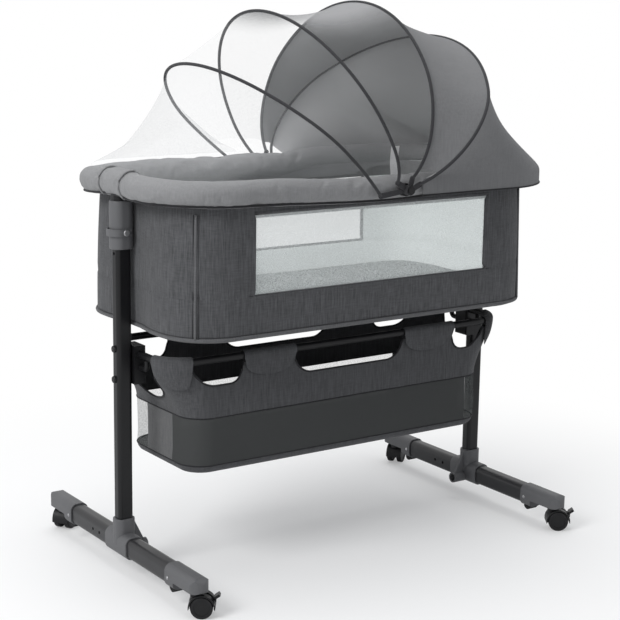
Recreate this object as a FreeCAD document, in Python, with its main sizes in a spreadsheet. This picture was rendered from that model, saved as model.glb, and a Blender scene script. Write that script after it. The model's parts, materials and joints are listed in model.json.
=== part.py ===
import FreeCAD, Part
import math
import os
import Sketcher

# Bedside bassinet on a castored stand: a padded fabric tub in a rail that telescopes out of two legs,
# a sling basket on a tube loop between the legs, and a fan canopy of four hoops with cloth and net.
# Millimetres. X runs along the bed, -Y is the front, +Z is up, and the origin is on the floor
# under the middle of the bed.

SIZES = {
    # stand: the height of the legs' tops sets the bed, and the height of the loop sets the basket
    "leg_spacing": 840.0, "leg_x": 30.0, "leg_y": 24.0, "leg_corner": 7.0, "leg_wall": 1.6,
    "leg_top": 680.0, "button_r": 3.0, "button_drop": 8.0,
    "foot_x": 32.0, "foot_z": 38.0, "foot_corner": 11.0, "foot_wall": 1.6, "foot_lift": 5.5,
    "foot_length": 424.0, "foot_hole_r": 3.0, "foot_hole_step": 26.0, "foot_hole_y": 70.0,
    "seat_gap": 0.15, "edge_r": 1.5, "wheel_edge": 2.0, "bolt_dome": 2.4, "collar_edge": 2.5,
    # tee and end caps
    "tee_wall": 3.0, "tee_length": 82.0, "tee_grip": 27.0, "socket_wall": 4.5, "socket_cheek": 5.0,
    "socket_flat": 3.0, "gusset_width": 6.0, "gusset_reach": 40.0, "gusset_rise": 20.0,
    "boss_r": 11.0, "boss_bore_r": 8.0, "boss_drop": 10.0, "boss_end": 46.0, "boss_depth": 24.0,
    "cap_wall": 2.6, "cap_grip": 26.0, "cap_step": 4.0, "cap_nose": 27.0, "cap_flat": 0.6,
    "cap_brow_r": 13.0, "cap_lip_r": 6.0, "pad_r": 10.0, "pad_width": 20.0, "pad_inset": 13.0,
    "pad_drop": 2.5,
    # castors
    "castor_reach": 50.0, "castor_trail": 12.0, "castor_turn_angle": 35.0,
    "wheel_r": 20.0, "wheel_width": 11.5,
    "web_width": 8.0, "web_gap": 1.5, "wheel_dish": 1.2, "axle_r": 3.0, "axle_fit": 0.05, "hood_gap": 1.6,
    "hood_wall": 2.4, "hood_side": 0.5, "stem_r": 5.0, "stem_grip": 17.5, "swivel_r": 9.0,
    "swivel_gap": 4.5, "lever_width": 8.0, "lever_tab": 15.0, "lever_angle": 35.0, "lever_set": 2.0,
    "lever_reach": 14.0, "lever_thick": 5.0, "lever_pin_r": 2.0,
    # height lock
    "collar_wall": 6.0, "collar_flat": 2.0, "collar_grip": 69.0, "collar_rise": 19.0, "lock_rise": 31.0,
    "lock_pin_r": 3.5, "band_height": 13.0, "band_thick": 2.2, "band_stand": 3.0, "band_screw_r": 2.5,
    "band_head_r": 6.0, "band_head": 2.4, "lift": 120.0, "slide_gap": 0.3,
    "post_grip": 240.0, "post_wall": 1.5, "head_lip": 2.0, "head_corner": 10.0, "head_drop": 4.0,
    "head_gap": 0.4,
    # rail, rim pad and tub
    "rail_b": 205.0, "rail_corner": 108.0, "rail_r": 11.0, "rail_wall": 1.5, "rail_rise": 28.0,
    "rim_r": 25.5, "pad_gap": 0.2,
    "tub_inset": 24.0, "tub_side": 1.0, "tub_corner": 100.0, "tub_depth": 233.0, "tub_gap": 0.5,
    "tub_wall": 8.0, "tub_floor": 4.0, "tub_foot_r": 9.0, "window_x": 532.0, "window_sill": 73.0,
    "window_head": 10.0, "window_corner": 8.0, "mesh_thick": 2.0, "soft_gap": 0.3,
    "board_thick": 5.0, "board_gap": 0.8, "mattress_thick": 18.0, "mattress_gap": 3.0,
    "mattress_draw": 7.0, "mattress_crown": 60.0,
    # cross frame and basket
    "loop_drop": 53.0, "loop_stand": 13.0, "loop_b": 117.0, "loop_corner": 65.0, "loop_r": 7.0,
    "loop_wall": 1.2, "brace_drop": 24.0, "brace_r": 5.0, "brace_half": 42.0, "brace_bend": 9.0,
    "bracket_width": 38.0, "bracket_below": 55.0, "bracket_above": 17.0, "bracket_depth": 24.0,
    "bracket_edge": 4.0, "bolt_below": 45.0, "bolt_above": 12.0, "bolt_r": 3.0, "bolt_head_r": 6.5,
    "bolt_head": 5.0, "bolt_bite": 5.0,
    "basket_inset": 46.0, "basket_spread": 3.0, "basket_corner": 50.0, "basket_depth": 160.0,
    "basket_wall": 3.0, "basket_band": 16.0, "basket_post": 46.0, "basket_board": 4.0,
    "basket_foot_r": 12.0, "seam_rise": 99.0, "tab_drop": 49.0, "tab_wall": 1.8, "tab_length": 118.0,
    "tab_near": 163.0, "tab_far": 205.0, "tab_corner_angle": 62.0,
    # canopy
    "hub_x": 42.0, "hub_drop": 11.0, "hub_r": 12.0, "hub_stand": 5.5, "pin_r": 3.0, "pin_fit": 0.05,
    "pin_head_r": 7.0, "pin_head": 3.0, "layer": 3.2, "layer_gap": 0.8, "eye_r": 9.0, "tongue_r": 5.0,
    "hoop_r": 3.0, "cloth": 1.6, "cloth_gap": 0.5, "tie_width": 17.0, "tie_height": 48.0,
    "tie_thick": 2.0,
    # hoops of the fan, front to rear: angle of the plane above the rear rail, offset of the plane from the
    # hub, start of the wire, spread beyond the eye where it is widest, the height there, rise of the crown
    # and turn of the shoulder in degrees
    "hoop_a_angle": 138.4, "hoop_a_offset": 45.6, "hoop_a_start": 40.0, "hoop_a_spread": 26.0,
    "hoop_a_wide_at": 170.0, "hoop_a_rise": 384.0, "hoop_a_turn_angle": 31.4,
    "hoop_b_angle": 116.1, "hoop_b_offset": 15.7, "hoop_b_start": 24.0, "hoop_b_spread": 29.8,
    "hoop_b_wide_at": 100.0, "hoop_b_rise": 359.0, "hoop_b_turn_angle": 30.0,
    "hoop_c_angle": 81.8, "hoop_c_offset": -3.0, "hoop_c_start": 22.0, "hoop_c_spread": 35.6,
    "hoop_c_wide_at": 107.0, "hoop_c_rise": 336.0, "hoop_c_turn_angle": 40.3,
    "hoop_d_angle": 50.5, "hoop_d_offset": -10.3, "hoop_d_start": 22.0, "hoop_d_spread": 59.4,
    "hoop_d_wide_at": 138.0, "hoop_d_rise": 354.0, "hoop_d_turn_angle": 44.4,
    # cloth: height of the hem on each hoop, sag between hoops, and the hems on the rim
    "hem_a": 118.0, "hem_b": 64.0, "hem_c": 54.0, "hem_d": 58.0, "hem_swing": 1.0, "sag_net_middle": 14.0,
    "sag_net_rear": 34.0, "sag_canopy": 24.0, "sag_net_front": 34.0, "sag_skirt": 44.0,
    "net_lean_angle": 158.0, "net_hem_start": 92.0, "net_belly_at": 205.0, "net_belly_angle": 36.0,
    "rim_turn_angle": 88.0, "skirt_lean_angle": 25.0, "skirt_hem_start": 40.0, "skirt_top": 16.0,
    "skirt_hem": 13.0, "skirt_gap": 4.5,
}

doc = FreeCAD.newDocument("bassinet")
sheet = doc.addObject("Spreadsheet::Sheet", "Sizes")
for row, (alias, number) in enumerate(SIZES.items(), start=1):
    sheet.set("A%d" % row, alias)
    sheet.set("B%d" % row, str(number))
    sheet.setAlias("B%d" % row, alias)
doc.recompute()

V = FreeCAD.Vector
NODES = []


class Size:
    """A length that carries its value and the sheet expression behind it."""

    def __init__(self, value, text):
        self.value = float(value)
        self.text = text

    def __add__(self, other):
        other = as_size(other)
        return Size(self.value + other.value, "(%s + %s)" % (self.text, other.text))

    def __sub__(self, other):
        other = as_size(other)
        return Size(self.value - other.value, "(%s - %s)" % (self.text, other.text))

    def __mul__(self, other):
        other = as_size(other)
        return Size(self.value * other.value, "(%s * %s)" % (self.text, other.text))

    def __truediv__(self, other):
        other = as_size(other)
        return Size(self.value / other.value, "(%s / %s)" % (self.text, other.text))

    def __neg__(self):
        return Size(-self.value, "(0 - %s)" % self.text)

    def __radd__(self, other):
        return as_size(other) + self

    def __rsub__(self, other):
        return as_size(other) - self

    def __rmul__(self, other):
        return as_size(other) * self

    def __float__(self):
        return self.value


def as_size(number):
    if isinstance(number, Size):
        return number
    return Size(number, "(%r)" % float(number))


class Sheet:
    """Every cell of the sheet as a Size, by its alias."""

    def __init__(self):
        for alias in SIZES:
            setattr(self, alias, Size(sheet.get(alias), "Sizes." + alias))


S = Sheet()

# Sizes that follow from others, so that pieces which seat on each other keep together.
# Castors and feet: the wheel and its hood set the height of the foot, and the foot that of the leg's end.
S.wheel_inset = S.web_width / 2 + S.web_gap
S.hood_width = 2 * (S.wheel_inset + S.wheel_width + S.hood_side)
S.hood_r = S.wheel_r + S.hood_gap + S.hood_wall
S.lever_root = S.hood_r + S.lever_set
S.lever_tip = S.hood_r + S.lever_reach
S.cap_nose_under = S.wheel_r + S.hood_r + S.swivel_gap
S.stem_top = S.cap_nose_under + S.stem_grip
S.foot_axis = S.cap_nose_under + S.foot_lift
S.cap_start = S.foot_length / 2 - S.cap_grip
S.castor_y = S.foot_length / 2 + S.castor_reach
S.cap_end = S.castor_y + S.cap_nose
S.cap_nose_r = S.foot_x / 2 + S.cap_wall - S.cap_flat
S.pad_y = S.foot_length / 2 - S.pad_inset
S.leg_foot = S.foot_axis + S.foot_z / 2 + S.tee_wall
S.tee_top = S.leg_foot + S.tee_grip
S.gusset_top = S.leg_foot + S.gusset_rise
S.boss_axis = S.foot_axis - S.boss_drop
S.tee_socket_x = S.leg_x + 2 * S.socket_wall
S.tee_socket_y = S.leg_y + 2 * S.socket_cheek
S.tee_socket_corner = S.tee_socket_y / 2 - S.socket_flat
# Collars, posts and rail: stacked on the legs' tops.
S.collar_x = S.leg_x + 2 * S.collar_wall
S.collar_y = S.leg_y + 2 * S.collar_wall
S.collar_corner = S.collar_y / 2 - S.collar_flat
S.collar_bottom = S.leg_top - S.collar_grip
S.collar_top = S.leg_top + S.collar_rise
S.lock_z = S.collar_bottom + S.lock_rise
S.post_bottom = S.leg_top - S.post_grip
S.head_x = S.leg_x + 2 * S.head_lip
S.head_y = S.leg_y + 2 * S.head_lip
S.rail_a = S.leg_spacing / 2
S.rail_axis = S.collar_top + S.rail_rise
S.head_top = S.rail_axis - S.head_drop
S.hub_z = S.rail_axis - S.hub_drop
S.hub_face = S.rail_b + S.rim_r + S.hub_stand
# Tub: hung under the rim.
S.tub_a = S.rail_a - S.tub_inset
S.tub_b = S.rail_b - S.tub_side
S.tub_top = S.rail_axis - S.rim_r - S.tub_gap
S.tub_bottom = S.tub_top - S.tub_depth
S.window_low = S.tub_bottom + S.window_sill
S.window_high = S.tub_top - S.window_head
# Cross frame and basket: the loop keeps its distance from the legs and the tub, and carries the basket.
S.loop_a = S.leg_spacing / 2 - S.leg_x / 2 - S.loop_stand
S.loop_axis = S.tub_bottom - S.loop_drop
S.brace_axis = S.loop_axis - S.brace_drop
S.bracket_low = S.loop_axis - S.bracket_below
S.bracket_high = S.loop_axis + S.bracket_above
S.bolt_low = S.loop_axis - S.bolt_below
S.bolt_high = S.loop_axis + S.bolt_above
S.basket_a = S.loop_a - S.basket_inset
S.basket_b = S.loop_b + S.basket_spread
S.basket_top = S.loop_axis - S.tab_drop
S.basket_bottom = S.basket_top - S.basket_depth
S.basket_seam = S.basket_bottom + S.seam_rise


def bind(obj, prop, size):
    size = as_size(size)
    obj.setExpression(prop, size.text)


def place(obj, x=0, y=0, z=0, turn=None):
    """Put an object at a bound position, with an optional (axis, degrees) turn."""
    if turn:
        obj.Placement = FreeCAD.Placement(V(0, 0, 0), FreeCAD.Rotation(V(*turn[0]), turn[1]))
    for axis, size in (("x", x), ("y", y), ("z", z)):
        bind(obj, "Placement.Base." + axis, size)
    return obj


def node(obj, label):
    """Name an object as a finished sub-part."""
    obj.Label = label
    NODES.append(obj)
    return obj


def new_body(name):
    return doc.addObject("PartDesign::Body", name)


def sketch(body, role, name, lift=0):
    """A sketch on one of the body's own planes, lifted along the plane's normal."""
    made = body.newObject("Sketcher::SketchObject", name)
    plane = next(item for item in body.Origin.OriginFeatures if item.Role == role)
    made.AttachmentSupport = (plane, [""])
    made.MapMode = "FlatFace"
    bind(made, "AttachmentOffset.Base.z", lift)
    return made


def limit(made, constraint, size):
    index = made.addConstraint(constraint)
    made.setExpression("Constraints[%d]" % index, as_size(size).text)


def rounded(made, width, height, corner):
    """A rectangle with round corners about the sketch's origin."""
    first = made.GeometryCount
    x, y, r = float(width) / 2, float(height) / 2, float(corner)
    ends = [((r - x, -y), (x - r, -y)), ((x, r - y), (x, y - r)),
            ((x - r, y), (r - x, y)), ((-x, y - r), (-x, r - y))]
    centres = [(x - r, r - y), (x - r, y - r), (r - x, y - r), (r - x, r - y)]
    for side in range(4):
        (x0, y0), (x1, y1) = ends[side]
        made.addGeometry(Part.LineSegment(V(x0, y0, 0), V(x1, y1, 0)), False)
        circle = Part.Circle(V(*centres[side], 0), V(0, 0, 1), r)
        start = math.radians(90 * side - 90)
        made.addGeometry(Part.ArcOfCircle(circle, start, start + math.pi / 2), False)
    rules = []
    for side in range(4):
        line, arc = first + 2 * side, first + 2 * side + 1
        after = first + (2 * side + 2) % 8
        rules.append(Sketcher.Constraint("Tangent", line, 2, arc, 1))
        rules.append(Sketcher.Constraint("Tangent", arc, 2, after, 1))
        rules.append(Sketcher.Constraint("Vertical" if side % 2 else "Horizontal", line))
        if side:
            rules.append(Sketcher.Constraint("Equal", first + 1, arc))
    rules.append(Sketcher.Constraint("Symmetric", first, 1, first + 4, 1, -1, 1))
    made.addConstraint(rules)
    limit(made, Sketcher.Constraint("DistanceX", first + 6, 1, first + 2, 2, 2 * x), width)
    limit(made, Sketcher.Constraint("DistanceY", first, 1, first + 4, 2, 2 * y), height)
    limit(made, Sketcher.Constraint("Radius", first + 1, r), corner)


def set_point(made, geometry, end, x, y):
    """Hold one end of a geometry at a bound point of the sketch."""
    for kind, size, axis in (("DistanceX", x, -2), ("DistanceY", y, -1)):
        if abs(float(size)) < 1e-9:
            made.addConstraint(Sketcher.Constraint("PointOnObject", geometry, end, axis))
        else:
            limit(made, Sketcher.Constraint(kind, -1, 1, geometry, end, float(size)), size)


def outline(made, points):
    """A closed outline of straight lines through bound points."""
    first = made.GeometryCount
    count = len(points)
    for index, (x, y) in enumerate(points):
        after = points[(index + 1) % count]
        start = V(float(x), float(y), 0)
        made.addGeometry(Part.LineSegment(start, V(float(after[0]), float(after[1]), 0)), False)
    for index in range(count):
        rule = Sketcher.Constraint("Coincident", first + index, 2, first + (index + 1) % count, 1)
        made.addConstraint(rule)
    for index, (x, y) in enumerate(points):
        set_point(made, first + index, 1, x, y)


def disc(made, radius, x=0, y=0):
    """A circle at a bound point of the sketch."""
    index = made.addGeometry(Part.Circle(V(float(x), float(y), 0), V(0, 0, 1), float(radius)), False)
    limit(made, Sketcher.Constraint("Radius", index, float(radius)), radius)
    set_point(made, index, 3, x, y)


def extrude(body, profile, length, both=False, back=False, cut=False):
    """Pad or pocket a sketch, one way or evenly both ways."""
    kind = "PartDesign::Pocket" if cut else "PartDesign::Pad"
    made = body.newObject(kind, profile.Name + ("_cut" if cut else "_pad"))
    made.Profile = profile
    made.SideType = "Symmetric" if both else "One side"
    made.Reversed = back
    bind(made, "Length", length)
    return made


def prism(name, role, width, height, corner, length, lift=0, wall=None, both=False):
    """A rounded bar or tube along the normal of an origin plane."""
    body = new_body(name)
    section = sketch(body, role, name + "_section", lift)
    rounded(section, width, height, corner)
    if wall is not None:
        rounded(section, width - 2 * wall, height - 2 * wall, corner - wall)
    extrude(body, section, length, both=both)
    return body


def block(name, x0, x1, y0, y1, z0, z1):
    """A box between bound faces."""
    made = doc.addObject("Part::Box", name)
    bind(made, "Length", as_size(x1) - x0)
    bind(made, "Width", as_size(y1) - y0)
    bind(made, "Height", as_size(z1) - z0)
    return place(made, x0, y0, z0)


def rod(name, axis, radius, start, length, x=0, y=0, z=0):
    """A cylinder along X, Y or Z from a start coordinate on that axis."""
    made = doc.addObject("Part::Cylinder", name)
    bind(made, "Radius", radius)
    bind(made, "Height", length)
    turns = {"x": ((0, 1, 0), 90), "y": ((1, 0, 0), -90), "z": None}
    spot = {"x": x, "y": y, "z": z}
    spot[axis] = start
    return place(made, spot["x"], spot["y"], spot["z"], turns[axis])


def soften(base, radius, pick):
    """Round the edges of a finished object that a test picks by their middle and direction."""
    doc.recompute()
    chosen = []
    for count, edge in enumerate(base.Shape.Edges, start=1):
        spot = (edge.FirstParameter + edge.LastParameter) / 2
        if pick(edge.valueAt(spot), edge.tangentAt(spot)):
            chosen.append((count, float(radius), float(radius)))
    made = doc.addObject("Part::Fillet", base.Name + "_soft")
    made.Base = base
    made.Edges = chosen
    return made


def near(number, size):
    return abs(number - float(size)) < 0.01


def fuse(name, shapes):
    made = doc.addObject("Part::MultiFuse", name)
    made.Shapes = shapes
    return made


def common(name, shapes):
    made = doc.addObject("Part::MultiCommon", name)
    made.Shapes = shapes
    return made


def cut(name, base, tools):
    made = doc.addObject("Part::Cut", name)
    made.Base = base
    made.Tool = tools[0] if len(tools) == 1 else fuse(name + "_tools", tools)
    return made


def group(name, shapes):
    made = doc.addObject("Part::Compound", name)
    made.Links = shapes
    return made


def formed(name, shape):
    """A sub-part whose free form is set from its own shape."""
    made = doc.addObject("Part::Feature", name)
    made.Shape = shape
    return made


def loop_pipe(name, half_x, half_y, corner, radius, height, bore):
    """A round tube bent into a flat loop with round corners."""
    body = new_body(name)
    path = sketch(body, "XY_Plane", name + "_path", height)
    rounded(path, 2 * half_x, 2 * half_y, corner)
    section = sketch(body, "YZ_Plane", name + "_section")
    disc(section, radius, -half_y, height)
    sweep = body.newObject("PartDesign::AdditivePipe", name + "_sweep")
    sweep.Profile = section
    sweep.Spine = path
    hole = sketch(body, "YZ_Plane", name + "_hole")
    disc(hole, bore, -half_y, height)
    core = body.newObject("PartDesign::SubtractivePipe", name + "_core")
    core.Profile = hole
    core.Spine = path
    return body


SIDES = {"left": -1, "right": 1}
CORNERS = {"front_left": (-1, -1), "rear_left": (-1, 1), "front_right": (1, -1), "rear_right": (1, 1)}


# Foot tubes: flat-sided steel tubes along Y under each leg, with two spare holes in the rear half.

def foot_tube(side, sign):
    name = "foot_tube_" + side
    body = prism(name, "XZ_Plane", S.foot_x, S.foot_z, S.foot_corner, S.foot_length,
                 wall=S.foot_wall, both=True)
    holes = sketch(body, "YZ_Plane", name + "_holes")
    for count in (0, 1):
        disc(holes, S.foot_hole_r, S.foot_hole_y + count * S.foot_hole_step)
    extrude(body, holes, S.foot_x + 2, both=True, cut=True)
    place(body, sign * S.leg_spacing / 2, 0, S.foot_axis)
    node(body, name)


# Tees: moulded sleeves that join foot and leg, each with a gusset and an open socket on the inner side.

def tee(side, sign):
    name = "tee_" + side
    sleeve = prism(name + "_sleeve", "XZ_Plane", S.foot_x + 2 * S.tee_wall, S.foot_z + 2 * S.tee_wall,
                   S.foot_corner + S.tee_wall, S.tee_length, both=True)
    place(sleeve, 0, 0, S.foot_axis)
    sleeve = soften(sleeve, S.edge_r, lambda spot, way: near(abs(spot.y), S.tee_length / 2))
    socket = prism(name + "_socket", "XY_Plane", S.tee_socket_x, S.tee_socket_y, S.tee_socket_corner,
                   S.tee_top - S.foot_axis, lift=S.foot_axis)
    socket = soften(socket, S.edge_r, lambda spot, way: near(spot.z, S.tee_top))
    boss = rod(name + "_boss", "x", S.boss_r, S.foot_x / 2, S.boss_end - S.foot_x / 2, z=S.boss_axis)
    gusset = new_body(name + "_gusset")
    web = sketch(gusset, "XZ_Plane", name + "_web")
    outline(web, [(S.foot_x / 2, S.boss_axis), (S.gusset_reach, S.boss_axis),
                  (S.gusset_reach, S.boss_axis + S.boss_r), (S.tee_socket_x / 2, S.gusset_top),
                  (S.foot_x / 2, S.gusset_top)])
    extrude(gusset, web, S.gusset_width, both=True)
    solid = fuse(name + "_solid", [sleeve, socket, boss, gusset])
    gap = 2 * S.seat_gap
    bore = rod(name + "_bore", "x", S.boss_bore_r, S.boss_end - S.boss_depth, S.boss_depth + 1,
               z=S.boss_axis)
    seat = prism(name + "_seat", "XZ_Plane", S.foot_x + gap, S.foot_z + gap, S.foot_corner + S.seat_gap,
                 S.tee_length + 2, both=True)
    place(seat, 0, 0, S.foot_axis)
    well = prism(name + "_well", "XY_Plane", S.leg_x + gap, S.leg_y + gap, S.leg_corner + S.seat_gap,
                 S.tee_top - S.leg_foot + 1, lift=S.leg_foot)
    made = cut(name, solid, [bore, seat, well])
    made.Placement = FreeCAD.Placement(V(0, 0, 0), FreeCAD.Rotation(V(0, 0, 1), 0 if sign < 0 else 180))
    bind(made, "Placement.Base.x", sign * S.leg_spacing / 2)
    node(made, name)


# End caps: moulded noses on the foot tubes, cut away below for the castor, with a round nose in plan.

def end_cap(corner, across, along):
    name = "end_cap_" + corner
    width = S.foot_x + 2 * S.cap_wall
    height = S.foot_z + 2 * S.cap_wall
    length = S.cap_end - S.cap_start
    half = height / 2
    bottom = S.foot_length / 2 + S.seat_gap
    bar = prism(name + "_bar", "XZ_Plane", width, height, S.foot_corner + S.cap_wall, length,
                lift=-S.cap_end)
    side_body = new_body(name + "_side")
    profile = sketch(side_body, "YZ_Plane", name + "_profile")
    under = S.cap_nose_under - S.foot_axis
    outline(profile, [(S.cap_start, -half), (bottom + S.seat_gap, -half), (bottom + S.cap_step, under),
                      (S.cap_end, under), (S.cap_end, half), (S.cap_start, half)])
    extrude(side_body, profile, width, both=True)
    side_body = soften(side_body, S.cap_brow_r, lambda spot, way: near(spot.y, S.cap_end)
                       and near(spot.z, half) and near(spot.x, 0))
    side_body = soften(side_body, S.cap_lip_r, lambda spot, way: near(spot.y, S.cap_end)
                       and near(spot.z, under) and near(spot.x, 0))
    plan = prism(name + "_plan", "XY_Plane", width, 2 * length, S.cap_nose_r, height + 2, both=True)
    place(plan, 0, S.cap_end - length)
    nose = common(name + "_nose", [bar, side_body, plan])
    gap = 2 * S.seat_gap
    seat = prism(name + "_seat", "XZ_Plane", S.foot_x + gap, S.foot_z + gap, S.foot_corner + S.seat_gap,
                 bottom - S.cap_start, lift=-bottom)
    stem = rod(name + "_stem_hole", "z", S.stem_r + S.axle_fit, -S.foot_axis, S.stem_top + S.seat_gap,
               y=S.castor_y)
    made = cut(name, nose, [seat, stem])
    made.Placement = FreeCAD.Placement(V(0, 0, 0), FreeCAD.Rotation(V(0, 0, 1), 0 if along > 0 else 180))
    bind(made, "Placement.Base.x", across * S.leg_spacing / 2)
    bind(made, "Placement.Base.z", S.foot_axis)
    node(made, name)


# Rubber pads: half-round blocks under the inner end of each cap.

def foot_pads():
    pads = []
    top = S.foot_axis - S.foot_z / 2 - S.cap_wall
    for corner, (across, along) in CORNERS.items():
        wheel = rod("pad_round_" + corner, "x", S.pad_r, across * S.leg_spacing / 2 - S.pad_width / 2,
                    S.pad_width, y=along * S.pad_y, z=top + S.pad_drop)
        below = block("pad_below_" + corner, across * S.leg_spacing / 2 - S.pad_width,
                      across * S.leg_spacing / 2 + S.pad_width, along * S.pad_y - 2 * S.pad_r,
                      along * S.pad_y + 2 * S.pad_r, top - 2 * S.pad_r, top)
        pads.append(common("pad_" + corner, [wheel, below]))
    node(group("foot_pads", pads), "foot_pads")


# Castors: twin wheels under a hood with pointed skirts, on a swivel stem, with a brake lever.

def castor(corner, across, along):
    turn = along * float(S.castor_turn_angle)
    spot = (across * S.leg_spacing / 2, along * S.castor_y)
    skirt_r = S.wheel_r + S.hood_gap
    hood_r = S.hood_r
    lean = math.radians(float(S.lever_angle))

    def settle(made, name):
        made.Placement = FreeCAD.Placement(V(0, 0, 0), FreeCAD.Rotation(V(0, 0, 1), turn))
        bind(made, "Placement.Base.x", spot[0])
        bind(made, "Placement.Base.y", spot[1])
        node(made, name)

    name = "castor_hood_" + corner
    shell = rod(name + "_shell", "y", hood_r, -S.hood_width / 2, S.hood_width, x=S.castor_trail, z=S.wheel_r)
    shell = soften(shell, S.edge_r, lambda spot, way: near(abs(spot.y), S.hood_width / 2))
    hollow = rod(name + "_hollow", "y", skirt_r, -S.hood_width / 2 - 1, S.hood_width + 2, x=S.castor_trail,
                 z=S.wheel_r)
    skirt = new_body(name + "_skirt")
    shape = sketch(skirt, "XZ_Plane", name + "_skirt_shape")
    outline(shape, [(S.castor_trail - hood_r - 1, S.wheel_r * 0.6), (S.castor_trail - skirt_r, S.wheel_r),
                    (S.castor_trail + skirt_r, S.wheel_r), (S.castor_trail + hood_r + 1, S.wheel_r * 0.6),
                    (S.castor_trail + hood_r + 1, S.wheel_r + hood_r + 1),
                    (S.castor_trail - hood_r - 1, S.wheel_r + hood_r + 1)])
    extrude(skirt, shape, S.hood_width, both=True)
    ring = common(name + "_ring", [cut(name + "_pipe", shell, [hollow]), skirt])
    web = block(name + "_web", S.castor_trail - skirt_r, S.castor_trail + S.axle_r + 4, -S.web_width / 2,
                S.web_width / 2, S.wheel_r - S.axle_r - 3, S.wheel_r + skirt_r)
    round_web = common(name + "_round_web", [web, rod(name + "_web_round", "y", hood_r, -S.web_width,
                                                      2 * S.web_width, x=S.castor_trail, z=S.wheel_r)])
    neck = rod(name + "_neck", "z", S.swivel_r, S.wheel_r + skirt_r * 0.8,
               S.cap_nose_under - S.soft_gap - S.wheel_r - skirt_r * 0.8)
    trimmed = cut(name + "_trimmed_neck", neck, [rod(name + "_neck_clear", "y", skirt_r, -S.hood_width,
                                                     2 * S.hood_width, x=S.castor_trail, z=S.wheel_r)])
    stem = rod(name + "_stem", "z", S.stem_r, S.wheel_r + skirt_r, S.stem_top - S.wheel_r - skirt_r)
    solid = fuse(name + "_solid", [ring, round_web, trimmed, stem])
    axle_hole = rod(name + "_axle_hole", "y", S.axle_r + S.axle_fit, -S.web_width, 2 * S.web_width,
                    x=S.castor_trail, z=S.wheel_r)
    slot = block(name + "_slot", S.castor_trail + S.axle_r + 4, S.castor_trail + 2 * hood_r,
                 -S.lever_width / 2 - S.soft_gap, S.lever_width / 2 + S.soft_gap,
                 S.wheel_r + skirt_r * 0.25, S.wheel_r + 2 * hood_r)
    pin_x = S.castor_trail + S.lever_root * math.cos(lean)
    pin_z = S.wheel_r + S.lever_root * math.sin(lean) - 4
    pivot = rod(name + "_pivot", "y", S.lever_pin_r, -S.hood_width / 2 + 3, S.hood_width - 6, x=pin_x,
                z=pin_z)
    settle(fuse(name, [cut(name + "_cut", solid, [axle_hole, slot]), pivot]), name)

    name = "castor_wheels_" + corner
    wheels = []
    for way in (-1, 1):
        inner = S.wheel_inset if way > 0 else -S.wheel_inset - S.wheel_width
        disc_body = rod(name + "_disc%d" % way, "y", S.wheel_r, inner, S.wheel_width, x=S.castor_trail,
                        z=S.wheel_r)
        face = S.wheel_inset + S.wheel_width - S.wheel_dish
        dish = rod(name + "_dish%d" % way, "y", S.wheel_r * 0.72, face if way > 0 else -face - 2, as_size(2),
                   x=S.castor_trail, z=S.wheel_r)
        disc_body = soften(disc_body, S.wheel_edge, lambda spot, way: abs(way.y) < 0.5)
        wheels.append(cut(name + "_wheel%d" % way, disc_body, [dish]))
    axle = rod(name + "_axle", "y", S.axle_r, -S.wheel_inset - 2, 2 * S.wheel_inset + 4, x=S.castor_trail,
               z=S.wheel_r)
    settle(fuse(name, wheels + [axle]), name)

    name = "brake_lever_" + corner
    body = new_body(name + "_blade")
    blade = sketch(body, "XZ_Plane", name + "_shape")

    def polar(distance, offset):
        return (S.castor_trail + distance * math.cos(lean) - offset * math.sin(lean),
                S.wheel_r + distance * math.sin(lean) + offset * math.cos(lean))

    half = S.lever_thick / 2
    outline(blade, [polar(S.lever_root - 4, -half), polar(S.lever_tip, -half), polar(S.lever_tip, half),
                    polar(S.lever_root - 4, half)])
    extrude(body, blade, S.lever_width, both=True)
    tab_body = new_body(name + "_tab")
    tab = sketch(tab_body, "XZ_Plane", name + "_tab_shape")
    outline(tab, [polar(hood_r + 4, -half), polar(S.lever_tip, -half), polar(S.lever_tip, half),
                  polar(hood_r + 4, half)])
    extrude(tab_body, tab, S.lever_tab, both=True)
    eye = rod(name + "_eye", "y", S.lever_pin_r + 2, -S.lever_width / 2, S.lever_width, x=pin_x, z=pin_z)
    hole = rod(name + "_hole", "y", S.lever_pin_r + S.axle_fit, -S.lever_width, 2 * S.lever_width, x=pin_x,
               z=pin_z)
    settle(cut(name, fuse(name + "_solid", [body, tab_body, eye]), [hole]), name)


# Legs: flat-sided steel tubes, open at the top, bolted through to the bracket of the cross frame, with
# the hole of a snap button in the outer wall under the collar.

def leg(side, sign):
    name = "leg_" + side
    body = prism(name, "XY_Plane", S.leg_x, S.leg_y, S.leg_corner, S.leg_top - S.leg_foot, lift=S.leg_foot,
                 wall=S.leg_wall)
    holes = sketch(body, "YZ_Plane", name + "_bolt_holes")
    for height in (S.bolt_low, S.bolt_high):
        disc(holes, S.bolt_r + S.seat_gap, 0, height)
    disc(holes, S.lock_pin_r + S.slide_gap, 0, S.lock_z)
    extrude(body, holes, S.leg_x + 2, both=True, cut=True)
    button = sketch(body, "YZ_Plane", name + "_button_hole")
    disc(button, S.button_r, 0, S.collar_bottom - S.button_drop)
    extrude(body, button, S.leg_x, back=sign > 0, cut=True)
    place(body, sign * S.leg_spacing / 2)
    node(body, name)


# Collars: round plastic sleeves on top of the legs, which guide the posts and hold the height lock.

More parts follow.
